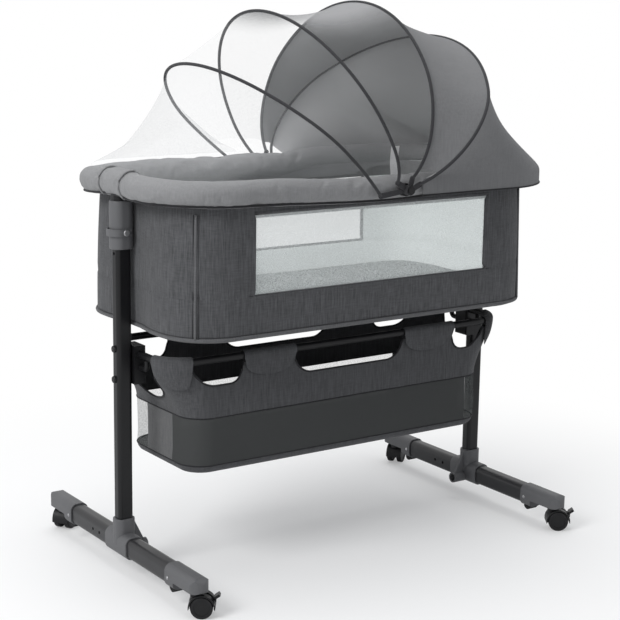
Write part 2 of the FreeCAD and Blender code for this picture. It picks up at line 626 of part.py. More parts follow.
def collar(side, sign):
    name = "collar_" + side
    gap = 2 * S.seat_gap
    body = prism(name + "_sleeve", "XY_Plane", S.collar_x, S.collar_y, S.collar_corner,
                 S.collar_top - S.collar_bottom, lift=S.collar_bottom)
    body = soften(body, S.collar_edge, lambda spot, way: near(spot.z, S.collar_top)
                  or near(spot.z, S.collar_bottom))
    well = prism(name + "_well", "XY_Plane", S.leg_x + gap, S.leg_y + gap, S.leg_corner + S.seat_gap,
                 S.leg_top - S.collar_bottom + 1, lift=S.collar_bottom - 1)
    bore = S.leg_wall + S.seat_gap
    mouth = prism(name + "_mouth", "XY_Plane", S.leg_x - 2 * bore, S.leg_y - 2 * bore, S.leg_corner - bore,
                  S.collar_top - S.leg_top + 2, lift=S.leg_top - 1)
    pin_hole = rod(name + "_pin_hole", "x", S.lock_pin_r + S.slide_gap, -S.collar_x, S.collar_x, z=S.lock_z)
    made = cut(name, body, [well, mouth, pin_hole])
    made.Placement = FreeCAD.Placement(V(0, 0, 0), FreeCAD.Rotation(V(0, 0, 1), 0 if sign < 0 else 180))
    bind(made, "Placement.Base.x", sign * S.leg_spacing / 2)
    node(made, name)


# Height locks: a strap round the outside of each collar pulls the lock pin out of the post.

def lock_band(side, sign):
    name = "lock_band_" + side
    inner_x = S.collar_x + 2 * S.band_stand
    inner_y = S.collar_y + 2 * S.soft_gap
    corner = S.collar_corner + S.soft_gap
    ring = prism(name + "_ring", "XY_Plane", inner_x + 2 * S.band_thick, inner_y + 2 * S.band_thick,
                 corner + S.band_thick, S.band_height, lift=S.lock_z - S.band_height / 2)
    hollow = prism(name + "_hollow", "XY_Plane", inner_x, inner_y, corner, S.band_height + 2,
                   lift=S.lock_z - S.band_height / 2 - 1)
    open_side = block(name + "_open", S.collar_x / 4, S.collar_x, -S.collar_y, S.collar_y,
                      S.lock_z - S.band_height, S.lock_z + S.band_height)
    slot_r = S.band_screw_r + S.slide_gap
    slot = block(name + "_slot", -slot_r, S.collar_x, -S.collar_y, S.collar_y, S.lock_z - slot_r,
                 S.lock_z + slot_r)
    strap = cut(name + "_strap", ring, [hollow, open_side, slot])
    reach = S.leg_x / 2 - S.leg_wall - S.slide_gap - S.post_wall
    pin = rod(name + "_pin", "x", S.lock_pin_r, -inner_x / 2 - S.band_thick / 2,
              inner_x / 2 + S.band_thick / 2 - reach, z=S.lock_z)
    made = fuse(name, [strap, pin])
    made.Placement = FreeCAD.Placement(V(0, 0, 0), FreeCAD.Rotation(V(0, 0, 1), 0 if sign < 0 else 180))
    bind(made, "Placement.Base.x", sign * S.leg_spacing / 2)
    node(made, name)


# Band screws: round heads on the front and rear of each collar, on which the strap slides.

def band_screws():
    screws = []
    shank = S.band_thick + 2 * S.soft_gap
    for side, sign in SIDES.items():
        for way in (-1, 1):
            name = "band_screw_%s%d" % (side, way)
            face = way * S.collar_y / 2
            pin = rod(name + "_pin", "y", S.band_screw_r, face if way > 0 else face - shank - 1, shank + 1,
                      x=sign * S.leg_spacing / 2, z=S.lock_z)
            under = face + shank if way > 0 else face - shank - S.band_head
            cap = rod(name + "_cap", "y", S.band_head_r, under, S.band_head, x=sign * S.leg_spacing / 2,
                      z=S.lock_z)
            outer = face + way * (shank + S.band_head)
            cap = soften(cap, S.edge_r, lambda spot, turn: near(spot.y, outer))
            screws.append(fuse(name, [pin, cap]))
    node(group("band_screws", screws), "band_screws")


# Posts: inner tubes that slide in the legs, slotted for the lock pin, with a head that cradles the rail.

def post(side, sign):
    name = "post_" + side
    bore = S.leg_wall + S.slide_gap
    tube = prism(name + "_tube", "XY_Plane", S.leg_x - 2 * bore, S.leg_y - 2 * bore, S.leg_corner - bore,
                 S.head_top - S.post_bottom, lift=S.post_bottom, wall=S.post_wall)
    head = prism(name + "_head", "XY_Plane", S.head_x, S.head_y, S.head_corner,
                 S.head_top - S.collar_top - S.head_gap, lift=S.collar_top + S.head_gap)
    saddle = rod(name + "_saddle", "y", S.rail_r + S.seat_gap, -S.head_y, 2 * S.head_y, z=S.rail_axis)
    slot_r = S.lock_pin_r + S.slide_gap
    slot = block(name + "_slot", -S.leg_x, -S.leg_x / 2 + bore + S.post_wall + 1, -slot_r, slot_r,
                 S.lock_z - S.lift - slot_r, S.lock_z + slot_r)
    made = cut(name, fuse(name + "_solid", [tube, head]), [saddle, slot])
    made.Placement = FreeCAD.Placement(V(0, 0, 0), FreeCAD.Rotation(V(0, 0, 1), 0 if sign < 0 else 180))
    bind(made, "Placement.Base.x", sign * S.leg_spacing / 2)
    node(made, name)


# Cross frame: a tube loop between the legs, with a bent brace under each end and a clamp at each leg.

def cross_frame():
    loop = loop_pipe("cross_frame", S.loop_a, S.loop_b, S.loop_corner, S.loop_r, S.loop_axis,
                     S.loop_r - S.loop_wall)
    node(loop, "cross_frame")
    braces = []
    for side, sign in SIDES.items():
        body = new_body("brace_" + side)
        path = sketch(body, "YZ_Plane", "brace_path_" + side)
        top = float(S.loop_axis - S.loop_r)
        low, half, bend = float(S.brace_axis), float(S.brace_half), float(S.brace_bend)
        path.addGeometry(Part.LineSegment(V(-half, top, 0), V(-half, low + bend, 0)), False)
        turn = Part.Circle(V(bend - half, low + bend, 0), V(0, 0, 1), bend)
        path.addGeometry(Part.ArcOfCircle(turn, math.pi, 1.5 * math.pi), False)
        path.addGeometry(Part.LineSegment(V(bend - half, low, 0), V(half - bend, low, 0)), False)
        turn = Part.Circle(V(half - bend, low + bend, 0), V(0, 0, 1), bend)
        path.addGeometry(Part.ArcOfCircle(turn, 1.5 * math.pi, 2 * math.pi), False)
        path.addGeometry(Part.LineSegment(V(half, low + bend, 0), V(half, top, 0)), False)
        ends = ((0, 2, 1, 1), (1, 2, 2, 1), (2, 2, 3, 1), (3, 2, 4, 1))
        path.addConstraint([Sketcher.Constraint("Tangent", *pair) for pair in ends])
        path.addConstraint(Sketcher.Constraint("Vertical", 0))
        path.addConstraint(Sketcher.Constraint("Horizontal", 2))
        path.addConstraint(Sketcher.Constraint("Equal", 1, 3))
        limit(path, Sketcher.Constraint("Radius", 1, bend), S.brace_bend)
        set_point(path, 0, 1, -S.brace_half, S.loop_axis - S.loop_r)
        set_point(path, 4, 2, S.brace_half, S.loop_axis - S.loop_r)
        limit(path, Sketcher.Constraint("DistanceY", -1, 1, 2, 1, low), S.brace_axis)
        section = sketch(body, "XY_Plane", "brace_section_" + side, S.loop_axis - S.loop_r)
        disc(section, S.brace_r, 0, -S.brace_half)
        sweep = body.newObject("PartDesign::AdditivePipe", "brace_sweep_" + side)
        sweep.Profile = section
        sweep.Spine = path
        place(body, sign * S.loop_a)
        saddle = rod("brace_saddle_" + side, "y", S.loop_r, -S.loop_b, 2 * S.loop_b, x=sign * S.loop_a,
                     z=S.loop_axis)
        braces.append(cut("brace_end_" + side, body, [saddle]))
    node(group("frame_braces", braces), "frame_braces")


def leg_bracket(side, sign):
    name = "leg_bracket_" + side
    face = S.leg_spacing / 2 - S.leg_x / 2
    base = block(name + "_block", face - S.bracket_depth, face, -S.bracket_width / 2, S.bracket_width / 2,
                 S.bracket_low, S.bracket_high)
    base = soften(base, S.bracket_edge, lambda spot, way: near(spot.x, face - S.bracket_depth))
    loop_seat = rod(name + "_loop_seat", "y", S.loop_r + S.seat_gap, -S.bracket_width, 2 * S.bracket_width,
                    x=S.loop_a, z=S.loop_axis)
    brace_seat = rod(name + "_brace_seat", "y", S.brace_r + S.seat_gap, -S.bracket_width,
                     2 * S.bracket_width, x=S.loop_a, z=S.brace_axis)
    holes = []
    for count, height in enumerate((S.bolt_low, S.bolt_high)):
        holes.append(rod("%s_bolt_%d" % (name, count), "x", S.bolt_r + S.seat_gap, face - S.bolt_bite,
                         S.bolt_bite + S.bolt_head, z=height))
    made = cut(name, base, [loop_seat, brace_seat] + holes)
    made.Placement = FreeCAD.Placement(V(0, 0, 0), FreeCAD.Rotation(V(0, 0, 1), 0 if sign > 0 else 180))
    node(made, name)


def frame_bolts():
    bolts = []
    for side, sign in SIDES.items():
        face = S.leg_spacing / 2 + S.leg_x / 2
        for count, height in enumerate((S.bolt_low, S.bolt_high)):
            name = "bolt_%s_%d" % (side, count)
            shank = rod(name + "_shank", "x", S.bolt_r, face - S.leg_x - S.bolt_bite,
                        S.leg_x + S.bolt_bite + S.bolt_head / 2, z=height)
            head = rod(name + "_head", "x", S.bolt_head_r, face, S.bolt_head, z=height)
            head = soften(head, S.bolt_dome, lambda spot, way: near(spot.x, face + S.bolt_head))
            bolt = fuse(name, [shank, head])
            turn = FreeCAD.Rotation(V(0, 0, 1), 0 if sign > 0 else 180)
            bolt.Placement = FreeCAD.Placement(V(0, 0, 0), turn)
            bolts.append(bolt)
    node(group("frame_bolts", bolts), "frame_bolts")


# Basket: a fabric trough with net windows in its lower band, hung from the loop by folded tabs.

def basket():
    wall = S.basket_wall
    shell = prism("basket_shell", "XY_Plane", 2 * S.basket_a, 2 * S.basket_b, S.basket_corner,
                  S.basket_top - S.basket_bottom, lift=S.basket_bottom)
    shell = soften(shell, S.basket_foot_r, lambda spot, way: near(spot.z, S.basket_bottom))
    hollow = prism("basket_hollow", "XY_Plane", 2 * (S.basket_a - wall), 2 * (S.basket_b - wall),
                   S.basket_corner - wall, S.basket_top - S.basket_bottom, lift=S.basket_bottom + wall)
    low = S.basket_bottom + S.basket_band
    long_x = S.basket_a - S.basket_corner - S.basket_post
    short_y = S.basket_b - S.basket_corner
    long_gap = block("basket_long_gap", -long_x, long_x, -S.basket_b - 1, S.basket_b + 1, low, S.basket_seam)
    short_gap = block("basket_short_gap", -S.basket_a - 1, S.basket_a + 1, -short_y, short_y, low,
                      S.basket_seam)
    made = cut("basket_fabric", shell, [hollow, long_gap, short_gap])
    node(made, "basket_fabric")

    gap = S.soft_gap
    thin = S.mesh_thick
    inset = (wall - thin) / 2
    nets = []
    for way in (-1, 1):
        y0 = S.basket_b - wall + inset if way > 0 else -S.basket_b + inset
        nets.append(block("basket_net_long%d" % way, -long_x + gap, long_x - gap, y0, y0 + thin, low + gap,
                          S.basket_seam - gap))
        x0 = S.basket_a - wall + inset if way > 0 else -S.basket_a + inset
        nets.append(block("basket_net_end%d" % way, x0, x0 + thin, -short_y + gap, short_y - gap, low + gap,
                          S.basket_seam - gap))
    node(group("basket_nets", nets), "basket_nets")

    edge = wall + gap
    board = prism("basket_board", "XY_Plane", 2 * (S.basket_a - edge), 2 * (S.basket_b - edge),
                  S.basket_corner - edge, S.basket_board, lift=S.basket_bottom + wall + gap)
    node(board, "basket_board")


# Basket tabs: tongues folded over the loop; those on the long sides stand on the wall's edge, and the
# two at opposite corners follow the bend of the loop down to the corner of the basket.

def basket_tabs():
    inner = float(S.loop_r + S.soft_gap)
    outer = inner + float(S.tab_wall)
    axis, foot = float(S.loop_axis), float(S.basket_top + S.soft_gap)

    def straight(centre, row):
        y = row * float(S.loop_b)
        fold = Part.makeCylinder(outer, float(S.tab_length), V(centre - float(S.tab_length) / 2, y, axis),
                                 V(1, 0, 0))
        flap = Part.makeBox(float(S.tab_length), 2 * outer, axis - foot,
                            V(centre - float(S.tab_length) / 2, y - outer, foot))
        space = Part.makeCylinder(inner, float(S.tab_length) + 2,
                                  V(centre - float(S.tab_length) / 2 - 1, y, axis), V(1, 0, 0))
        below = Part.makeBox(float(S.tab_length) + 2, 2 * inner, axis - foot + 1,
                             V(centre - float(S.tab_length) / 2 - 1, y - inner, foot - 1))
        return fold.fuse(flap).cut(space.fuse(below)).removeSplitter()

    def strip(centre_x, centre_y, r0, r1, z, start, stop):
        """A flat strip between two arcs about a corner's centre."""
        def point(radius, angle):
            return V(centre_x + radius * math.cos(angle), centre_y + radius * math.sin(angle), z)
        mid = (start + stop) / 2
        edges = [Part.Arc(point(r1, start), point(r1, mid), point(r1, stop)).toShape(),
                 Part.LineSegment(point(r1, stop), point(r0, stop)).toShape(),
                 Part.Arc(point(r0, stop), point(r0, mid), point(r0, start)).toShape(),
                 Part.LineSegment(point(r0, start), point(r1, start)).toShape()]
        return Part.Wire(edges)

    def corner(row):
        bend = float(S.loop_corner)
        cx, cy = -float(S.loop_a) + bend, -float(S.loop_b) + bend
        half = math.radians(float(S.tab_corner_angle)) / 2
        start, stop = math.radians(225) - half, math.radians(225) + half
        ring = Part.makeTorus(bend, outer, V(cx, cy, axis), V(0, 0, 1))
        ring = ring.cut(Part.makeTorus(bend, inner, V(cx, cy, axis), V(0, 0, 1)))
        sector = Part.Face(strip(cx, cy, 1.0, 2 * bend, axis - outer, start, stop))
        sector = sector.extrude(V(0, 0, 2 * outer))
        fold = ring.common(sector)
        bx, by = -float(S.basket_a - S.basket_corner), -float(S.basket_b - S.basket_corner)
        edge = float(S.basket_corner)
        wall = float(S.tab_wall)
        top = strip(cx, cy, bend - wall, bend, axis - inner - wall / 2, start, stop)
        hem = strip(bx, by, edge - wall, edge, foot, start, stop)
        flap = Part.makeLoft([hem, top], True, True)
        shape = fold.fuse(flap).removeSplitter()
        if row > 0:
            shape.rotate(V(0, 0, 0), V(0, 0, 1), 180)
        return shape

    shapes = [corner(-1), corner(1)]
    for row in (-1, 1):
        shapes.append(straight(row * float(S.tab_near), row))
        shapes.append(straight(-row * float(S.tab_far), row))
    node(formed("basket_tabs", Part.Compound(shapes)), "basket_tabs")


# Rail and rim: a steel tube loop on the posts, wrapped in a round padded roll.

def rim():
    rail = loop_pipe("rail_tube", S.rail_a, S.rail_b, S.rail_corner, S.rail_r, S.rail_axis,
                     S.rail_r - S.rail_wall)
    node(rail, "rail_tube")
    roll = loop_pipe("rim_roll", S.rail_a, S.rail_b, S.rail_corner, S.rim_r, S.rail_axis,
                     S.rail_r + S.pad_gap)
    spaces = []
    for side, sign in SIDES.items():
        head = prism("rim_head_" + side, "XY_Plane", S.head_x + 2 * S.pad_gap, S.head_y + 2 * S.pad_gap,
                     S.head_corner + S.pad_gap, S.rail_axis - S.collar_top, lift=S.collar_top)
        place(head, sign * S.rail_a)
        spaces.append(head)
        hub = rod("rim_hub_" + side, "y", S.hub_r + S.pad_gap, S.rail_b if sign > 0 else -2 * S.rail_b,
                  S.rail_b, x=S.hub_x, z=S.hub_z)
        spaces.append(hub)
    node(cut("rim_pad", roll, spaces), "rim_pad")


# Tub: a padded fabric shell with a net window in each long side, and a board and a mattress inside.

def tub():
    wall = S.tub_wall
    shell = prism("tub_block", "XY_Plane", 2 * S.tub_a, 2 * S.tub_b, S.tub_corner,
                  S.tub_top - S.tub_bottom, lift=S.tub_bottom)
    shell = soften(shell, S.tub_foot_r, lambda spot, way: near(spot.z, S.tub_bottom))
    hollow = prism("tub_hollow", "XY_Plane", 2 * (S.tub_a - wall), 2 * (S.tub_b - wall), S.tub_corner - wall,
                   S.tub_top - S.tub_bottom, lift=S.tub_bottom + S.tub_floor)
    middle = (S.window_low + S.window_high) / 2
    height = S.window_high - S.window_low
    window = prism("tub_window", "XZ_Plane", S.window_x, height, S.window_corner, 2 * S.tub_b + 2, both=True)
    place(window, 0, 0, middle)
    node(cut("tub_shell", shell, [hollow, window]), "tub_shell")
    gap = 2 * S.soft_gap
    for row, sign in (("front", -1), ("rear", 1)):
        name = "window_net_" + row
        net = prism(name, "XZ_Plane", S.window_x - gap, height - gap, S.window_corner - S.soft_gap,
                    S.mesh_thick, both=True)
        place(net, 0, sign * (S.tub_b - wall / 2), middle)
        node(net, name)
    edge = wall + S.board_gap
    board = prism("floor_board", "XY_Plane", 2 * (S.tub_a - edge), 2 * (S.tub_b - edge), S.tub_corner - edge,
                  S.board_thick, lift=S.tub_bottom + S.tub_floor + S.soft_gap)
    node(board, "floor_board")
    mattress = new_body("mattress")
    base = S.tub_bottom + S.tub_floor + 2 * S.soft_gap + S.board_thick
    levels = [(0.0, S.mattress_draw), (0.3, as_size(0)), (0.68, S.mattress_draw * 0.6),
              (1.0, S.mattress_crown)]
    sections = []
    for count, (share, inset) in enumerate(levels):
        made = sketch(mattress, "XY_Plane", "mattress_section%d" % count, base + share * S.mattress_thick)
        edge = wall + S.mattress_gap + inset
        rounded(made, 2 * (S.tub_a - edge), 2 * (S.tub_b - edge), S.tub_corner - edge)
        sections.append(made)
    loft = mattress.newObject("PartDesign::AdditiveLoft", "mattress_loft")
    loft.Profile = sections[0]
    loft.Sections = sections[1:]
    loft.Ruled = True
    node(mattress, "mattress")


# Canopy hubs: a boss on the rail at each side, with a headed pin that carries the eyes of all hoops.

def canopy_hubs():
    bosses, pins = [], []
    for side, sign in SIDES.items():
        boss = rod("hub_boss_" + side, "y", S.hub_r, S.rail_b, S.hub_face - S.rail_b, x=S.hub_x, z=S.hub_z)
        seat = rod("hub_seat_" + side, "x", S.rail_r + S.seat_gap, S.hub_x - 2 * S.hub_r, 4 * S.hub_r,
                   y=S.rail_b, z=S.rail_axis)
        bore = rod("hub_bore_" + side, "y", S.pin_r + S.seat_gap, S.hub_face - S.hub_r, 2 * S.hub_r,
                   x=S.hub_x, z=S.hub_z)
        hub = cut("hub_" + side, boss, [seat, bore])
        shaft_end = S.hub_face + 4 * S.layer + S.layer_gap
        shaft = rod("pin_shaft_" + side, "y", S.pin_r, S.hub_face - S.hub_r,
                    shaft_end - S.hub_face + S.hub_r, x=S.hub_x, z=S.hub_z)
        head = rod("pin_head_" + side, "y", S.pin_head_r, shaft_end, S.pin_head, x=S.hub_x, z=S.hub_z)
        pin = fuse("pin_" + side, [shaft, head])
        for made in (hub, pin):
            if sign < 0:
                spin = FreeCAD.Rotation(V(0, 0, 1), 180)
                made.Placement = FreeCAD.Placement(V(0, 0, 0), spin)
                bind(made, "Placement.Base.x", 2 * S.hub_x)
        bosses.append(hub)
        pins.append(pin)
    node(group("canopy_hubs", bosses), "canopy_hubs")
    node(group("hub_pins", pins), "hub_pins")


def shoulder_share(turn):
    """How far a shoulder's centre is from the middle, as a share of the width less the height."""
    slope = math.tan(math.radians(turn))
    return (1 + slope + math.hypot(1, slope)) / (2 * slope)


# The arch of a hoop in its own plane: a lower arc that swings out from the hub, a shoulder and a crown,
# all tangent. Widths are along Y and heights away from the hub.

def arch(start_wide, start, wide, wide_at, rise, turn, grow=0.0):
    swing = wide - start_wide
    climb = wide_at - start
    lower = (swing ** 2 + climb ** 2) / (2 * swing)
    height = rise - wide_at
    meet = math.radians(turn)
    inset = (wide - height) * shoulder_share(turn)
    shoulder = wide - inset
    drop = inset * math.tan(meet)
    first = -math.asin(climb / lower)

    def point(centre_y, centre_h, radius, angle):
        return (centre_y + (radius + grow) * math.cos(angle), centre_h + (radius + grow) * math.sin(angle))

    low = [point(wide - lower, wide_at, lower, first * share) for share in (1.0, 0.5, 0.0)]
    bend = [point(wide - shoulder, wide_at, shoulder, meet * share) for share in (0.0, 0.5, 1.0)]
    crown = [point(0.0, wide_at - drop, height + drop, angle)
             for angle in (meet, math.pi / 2, math.pi - meet)]
    mirror = [[(-y, h) for y, h in reversed(arc)] for arc in (bend, low)]
    return [low, bend, crown] + mirror


def in_plane(angle, offset, y, h):
    """A point of a fan plane, at height h from the hub, as a place in the bed."""
    lean = math.radians(angle)
    x = float(S.hub_x) + h * math.cos(lean) - offset * math.sin(lean)
    z = float(S.hub_z) + h * math.sin(lean) + offset * math.cos(lean)
    return V(x, y, z)


FAN = "abcd"
HOOP_KEYS = ("angle", "offset", "start", "spread", "wide_at", "rise", "turn_angle")


def hoop_sizes(letter):
    """The sizes of one hoop, with the layer of its eyes on the pin."""
    size = {key: float(getattr(S, "hoop_%s_%s" % (letter, key))) for key in HOOP_KEYS}
    eye = S.hub_face + S.layer_gap + FAN.index(letter) * S.layer + (S.layer - S.layer_gap) / 2
    size["layer"] = float(eye)
    size["wide"] = size["layer"] + size["spread"]
    return size


def hoop(letter):
    size = hoop_sizes(letter)
    arcs = arch(size["layer"], size["start"], size["wide"], size["wide_at"], size["rise"],
                size["turn_angle"])
    edges = []
    for arc in arcs:
        spots = [in_plane(size["angle"], size["offset"], y, h) for y, h in arc]
        edges.append(Part.Arc(*spots).toShape())
    path = Part.Wire(edges)
    begin = path.Edges[0].valueAt(path.Edges[0].FirstParameter)
    heading = path.Edges[0].tangentAt(path.Edges[0].FirstParameter)
    ring = Part.Wire(Part.makeCircle(float(S.hoop_r), begin, heading))
    shape = path.makePipeShell([ring], True, True)
    thick = float(S.layer - S.layer_gap)
    hub = V(float(S.hub_x), 0, float(S.hub_z))
    tip = in_plane(size["angle"], size["offset"], 0, size["start"])
    along = (tip - hub).normalize()
    across = V(0, 1, 0).cross(along)
    for way in (-1, 1):
        base = V(0, way * size["layer"] - thick / 2, 0)
        eye = Part.makeCylinder(float(S.eye_r), thick, hub + base, V(0, 1, 0))
        end = Part.makeCylinder(float(S.tongue_r), thick, tip + base, V(0, 1, 0))
        half = float(S.tongue_r)
        corners = [hub + across * half, tip + across * half, tip - across * half, hub - across * half]
        blade = Part.Face(Part.makePolygon([spot + base for spot in corners + corners[:1]]))
        shape = shape.fuse([eye, end, blade.extrude(V(0, thick, 0))])
        bore = Part.makeCylinder(float(S.pin_r + S.pin_fit), 2 * thick, hub + base - V(0, thick / 2, 0),
                                 V(0, 1, 0))
        shape = shape.cut(bore)
    node(formed("hoop_" + letter, shape.removeSplitter()), "hoop_" + letter)


# Cloth between the hoops: a thin skin lofted through arches that sag between the wires.

def skin(label, sections):
    wires = []
    for angle, offset, shape in sections:
        outer = arch(*shape)
        inner = arch(*shape, grow=-float(S.cloth))
        edges = []
        for arc in outer:
            edges.append(Part.Arc(*[in_plane(angle, offset, y, h) for y, h in arc]).toShape())
        turn = [in_plane(angle, offset, *outer[-1][-1]), in_plane(angle, offset, *inner[-1][-1])]
        edges.append(Part.LineSegment(*turn).toShape())
        for arc in reversed(inner):
            edges.append(Part.Arc(*[in_plane(angle, offset, y, h) for y, h in reversed(arc)]).toShape())
        turn = [in_plane(angle, offset, *inner[0][0]), in_plane(angle, offset, *outer[0][0])]
        edges.append(Part.LineSegment(*turn).toShape())
        wires.append(Part.Wire(edges))
    node(formed(label, Part.makeLoft(wires, True, False)), label)


def hemmed(letter):
    """The arch of a hoop from its hem up, where it already stands wide of the hub."""
    size = hoop_sizes(letter)
    start = float(getattr(S, "hem_" + letter))
    swing = size["wide"] - size["layer"]
    climb = size["wide_at"] - size["start"]
    lower = (swing ** 2 + climb ** 2) / (2 * swing)
    start_wide = size["wide"] - lower + math.sqrt(lower ** 2 - (size["wide_at"] - start) ** 2)
    return [start_wide, start, size["wide"], size["wide_at"], size["rise"], size["turn_angle"]]


def halfway(first, last, sag, draw):
    """The arch midway between two arches, with its crown lowered and its sides drawn in."""
    middle = [(one + two) / 2 for one, two in zip(first, last)]
    middle[0] -= draw
    middle[2] -= draw
    middle[4] -= sag
    return middle


def along_rim(wide, reach, corner, start):
    """The arch of a hem that follows the rim round its end."""
    turn = float(S.rim_turn_angle)
    height = wide - (wide - corner) / shoulder_share(turn)
    return [wide - float(S.hem_swing), start, wide, reach - height, reach, turn]


def between(front, rear, sag):
    """Sections of a skin from one hoop to the next, clear of both wires."""
    clear = float(S.hoop_r + S.cloth_gap)
    one, two = hoop_sizes(front), hoop_sizes(rear)
    first, last = hemmed(front), hemmed(rear)
    middle = halfway(first, last, float(sag), float(sag) / 8)
    return [(one["angle"], one["offset"] - clear, first),
            ((one["angle"] + two["angle"]) / 2, (one["offset"] + two["offset"]) / 2, middle),
            (two["angle"], two["offset"] + clear, last)]


def canopy():
    for letter in FAN:
        hoop(letter)
    skin("net_middle", between("a", "b", S.sag_net_middle))
    skin("net_rear", between("b", "c", S.sag_net_rear))
    skin("canopy_front", between("c", "d", S.sag_canopy))

    clear = float(S.hoop_r + S.cloth_gap)
    size = hoop_sizes("a")
    first = hemmed("a")
    reach = float(S.rail_a + S.hub_x)
    last = along_rim(float(S.rail_b), reach, float(S.rail_corner), float(S.net_hem_start))
    sag = float(S.sag_net_front)
    middle = halfway(first, last, sag, sag / 4)
    middle[3] = float(S.net_belly_at)
    middle[5] = float(S.net_belly_angle)
    rim_top = float(S.rail_axis + S.rim_r + S.cloth_gap - S.hub_z)
    skin("net_front", [(size["angle"], size["offset"] + clear, first),
                       (float(S.net_lean_angle), 0.0, middle), (180.0, -rim_top, last)])

    size = hoop_sizes("d")
    first = hemmed("d")
    stand = S.rim_r + S.skirt_gap
    reach = float(S.rail_a - S.hub_x + stand)
    corner = float(S.rail_corner + S.rim_r)
    last = along_rim(float(S.rail_b + stand), reach, corner, float(S.skirt_hem_start))
    middle = halfway(first, last, float(S.sag_skirt), 0.0)
    skin("canopy_rear", [(size["angle"], size["offset"] - clear, first),
                         (float(S.skirt_lean_angle), 0.0, middle),
                         (0.0, float(S.skirt_top), last), (0.0, -float(S.skirt_hem), last)])


# Tie tab: a short webbing tongue on the inside of the front rail, which holds the rolled net.

def tie_tab():
    inner = S.rail_b - S.rim_r - S.soft_gap
    top = S.rail_axis + S.tie_height
    tab = block("net_tie", S.hub_x + S.hub_r, S.hub_x + S.hub_r + S.tie_width, -inner, -inner + S.tie_thick,
                S.rail_axis, top + S.rim_r)
    node(tab, "net_tie")


for place_name, way in SIDES.items():
    foot_tube(place_name, way)
    tee(place_name, way)
    leg(place_name, way)
    collar(place_name, way)
    lock_band(place_name, way)
    post(place_name, way)
    leg_bracket(place_name, way)
for place_name, (way_x, way_y) in CORNERS.items():
    end_cap(place_name, way_x, way_y)
    castor(place_name, way_x, way_y)
foot_pads()
band_screws()
cross_frame()
frame_bolts()
basket()
basket_tabs()
rim()
tub()
canopy_hubs()
canopy()
tie_tab()
doc.recompute()

for item in doc.Objects:
    if "Invalid" in item.State or "Error" in item.State:
        raise RuntimeError("%s did not build" % item.Label)
for item in NODES:
    if item.Shape.isNull() or not item.Shape.isValid():
        raise RuntimeError("%s has no valid shape" % item.Label)

os.makedirs("parts", exist_ok=True)
for item in NODES:
    item.Shape.exportStep("parts/%s.step" % item.Label)
print("%d sub-parts" % len(NODES))
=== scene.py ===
import bpy
import bmesh
import json
import math
from mathutils import Matrix, Vector, noise


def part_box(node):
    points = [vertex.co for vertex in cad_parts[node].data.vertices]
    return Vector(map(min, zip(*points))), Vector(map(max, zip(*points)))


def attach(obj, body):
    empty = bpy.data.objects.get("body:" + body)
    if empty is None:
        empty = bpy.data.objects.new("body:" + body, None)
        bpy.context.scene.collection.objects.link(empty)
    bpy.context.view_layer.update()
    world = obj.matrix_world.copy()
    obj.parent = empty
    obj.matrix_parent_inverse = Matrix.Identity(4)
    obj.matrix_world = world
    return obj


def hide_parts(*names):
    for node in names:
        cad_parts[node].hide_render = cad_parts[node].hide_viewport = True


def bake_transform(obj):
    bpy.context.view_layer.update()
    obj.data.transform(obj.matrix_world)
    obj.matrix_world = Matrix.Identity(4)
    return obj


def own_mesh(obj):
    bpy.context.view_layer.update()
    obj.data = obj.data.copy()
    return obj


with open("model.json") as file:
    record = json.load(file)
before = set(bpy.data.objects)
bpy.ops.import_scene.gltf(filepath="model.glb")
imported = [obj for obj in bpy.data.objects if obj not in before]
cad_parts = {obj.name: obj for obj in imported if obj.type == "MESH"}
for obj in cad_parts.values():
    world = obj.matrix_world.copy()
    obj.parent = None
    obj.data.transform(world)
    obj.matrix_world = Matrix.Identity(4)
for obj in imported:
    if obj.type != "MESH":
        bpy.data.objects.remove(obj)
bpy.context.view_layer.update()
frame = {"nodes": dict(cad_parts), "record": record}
scene = bpy.context.scene

# Camera, light and floor. The camera stands where the photograph was taken from: in front of the bed's
# left end, a little above the rail, with a long lens. The floor is white paper that keeps a soft shadow.
look = math.radians(-34.69)
dip = math.radians(11.99)
roll = math.radians(0.90)
ahead = Vector((-math.sin(look) * math.cos(dip), math.cos(look) * math.cos(dip), -math.sin(dip)))
right = Vector((math.cos(look), math.sin(look), 0.0))
up = right.cross(ahead)
right, up = right * math.cos(roll) + up * math.sin(roll), up * math.cos(roll) - right * math.sin(roll)
viewpoint = (-1.741, -2.508, 1.101)
lens = bpy.data.cameras.new("photo_camera")
lens.sensor_width = 36.0
lens.lens = 92.13
camera = bpy.data.objects.new("photo_camera", lens)
turn = Matrix((right, up, -ahead)).transposed().to_4x4()
camera.matrix_world = Matrix.Translation(viewpoint) @ turn
scene.collection.objects.link(camera)
scene.camera = camera
scene.view_settings.view_transform = "Standard"


def area_light(name, spot, target, size, watts):
    lamp = bpy.data.lights.new(name, "AREA")
    lamp.shape = "DISK"
    lamp.size = size
    lamp.energy = watts
    made = bpy.data.objects.new(name, lamp)
    made.location = spot
    made.rotation_euler = (Vector(target) - Vector(spot)).to_track_quat("-Z", "Y").to_euler()
    scene.collection.objects.link(made)


area_light("key_light", (-2.9, -0.6, 2.5), (0, 0, 0.6), 1.6, 66)
area_light("top_light", (0.2, 0.3, 3.2), (0, 0, 0.6), 2.4, 38)

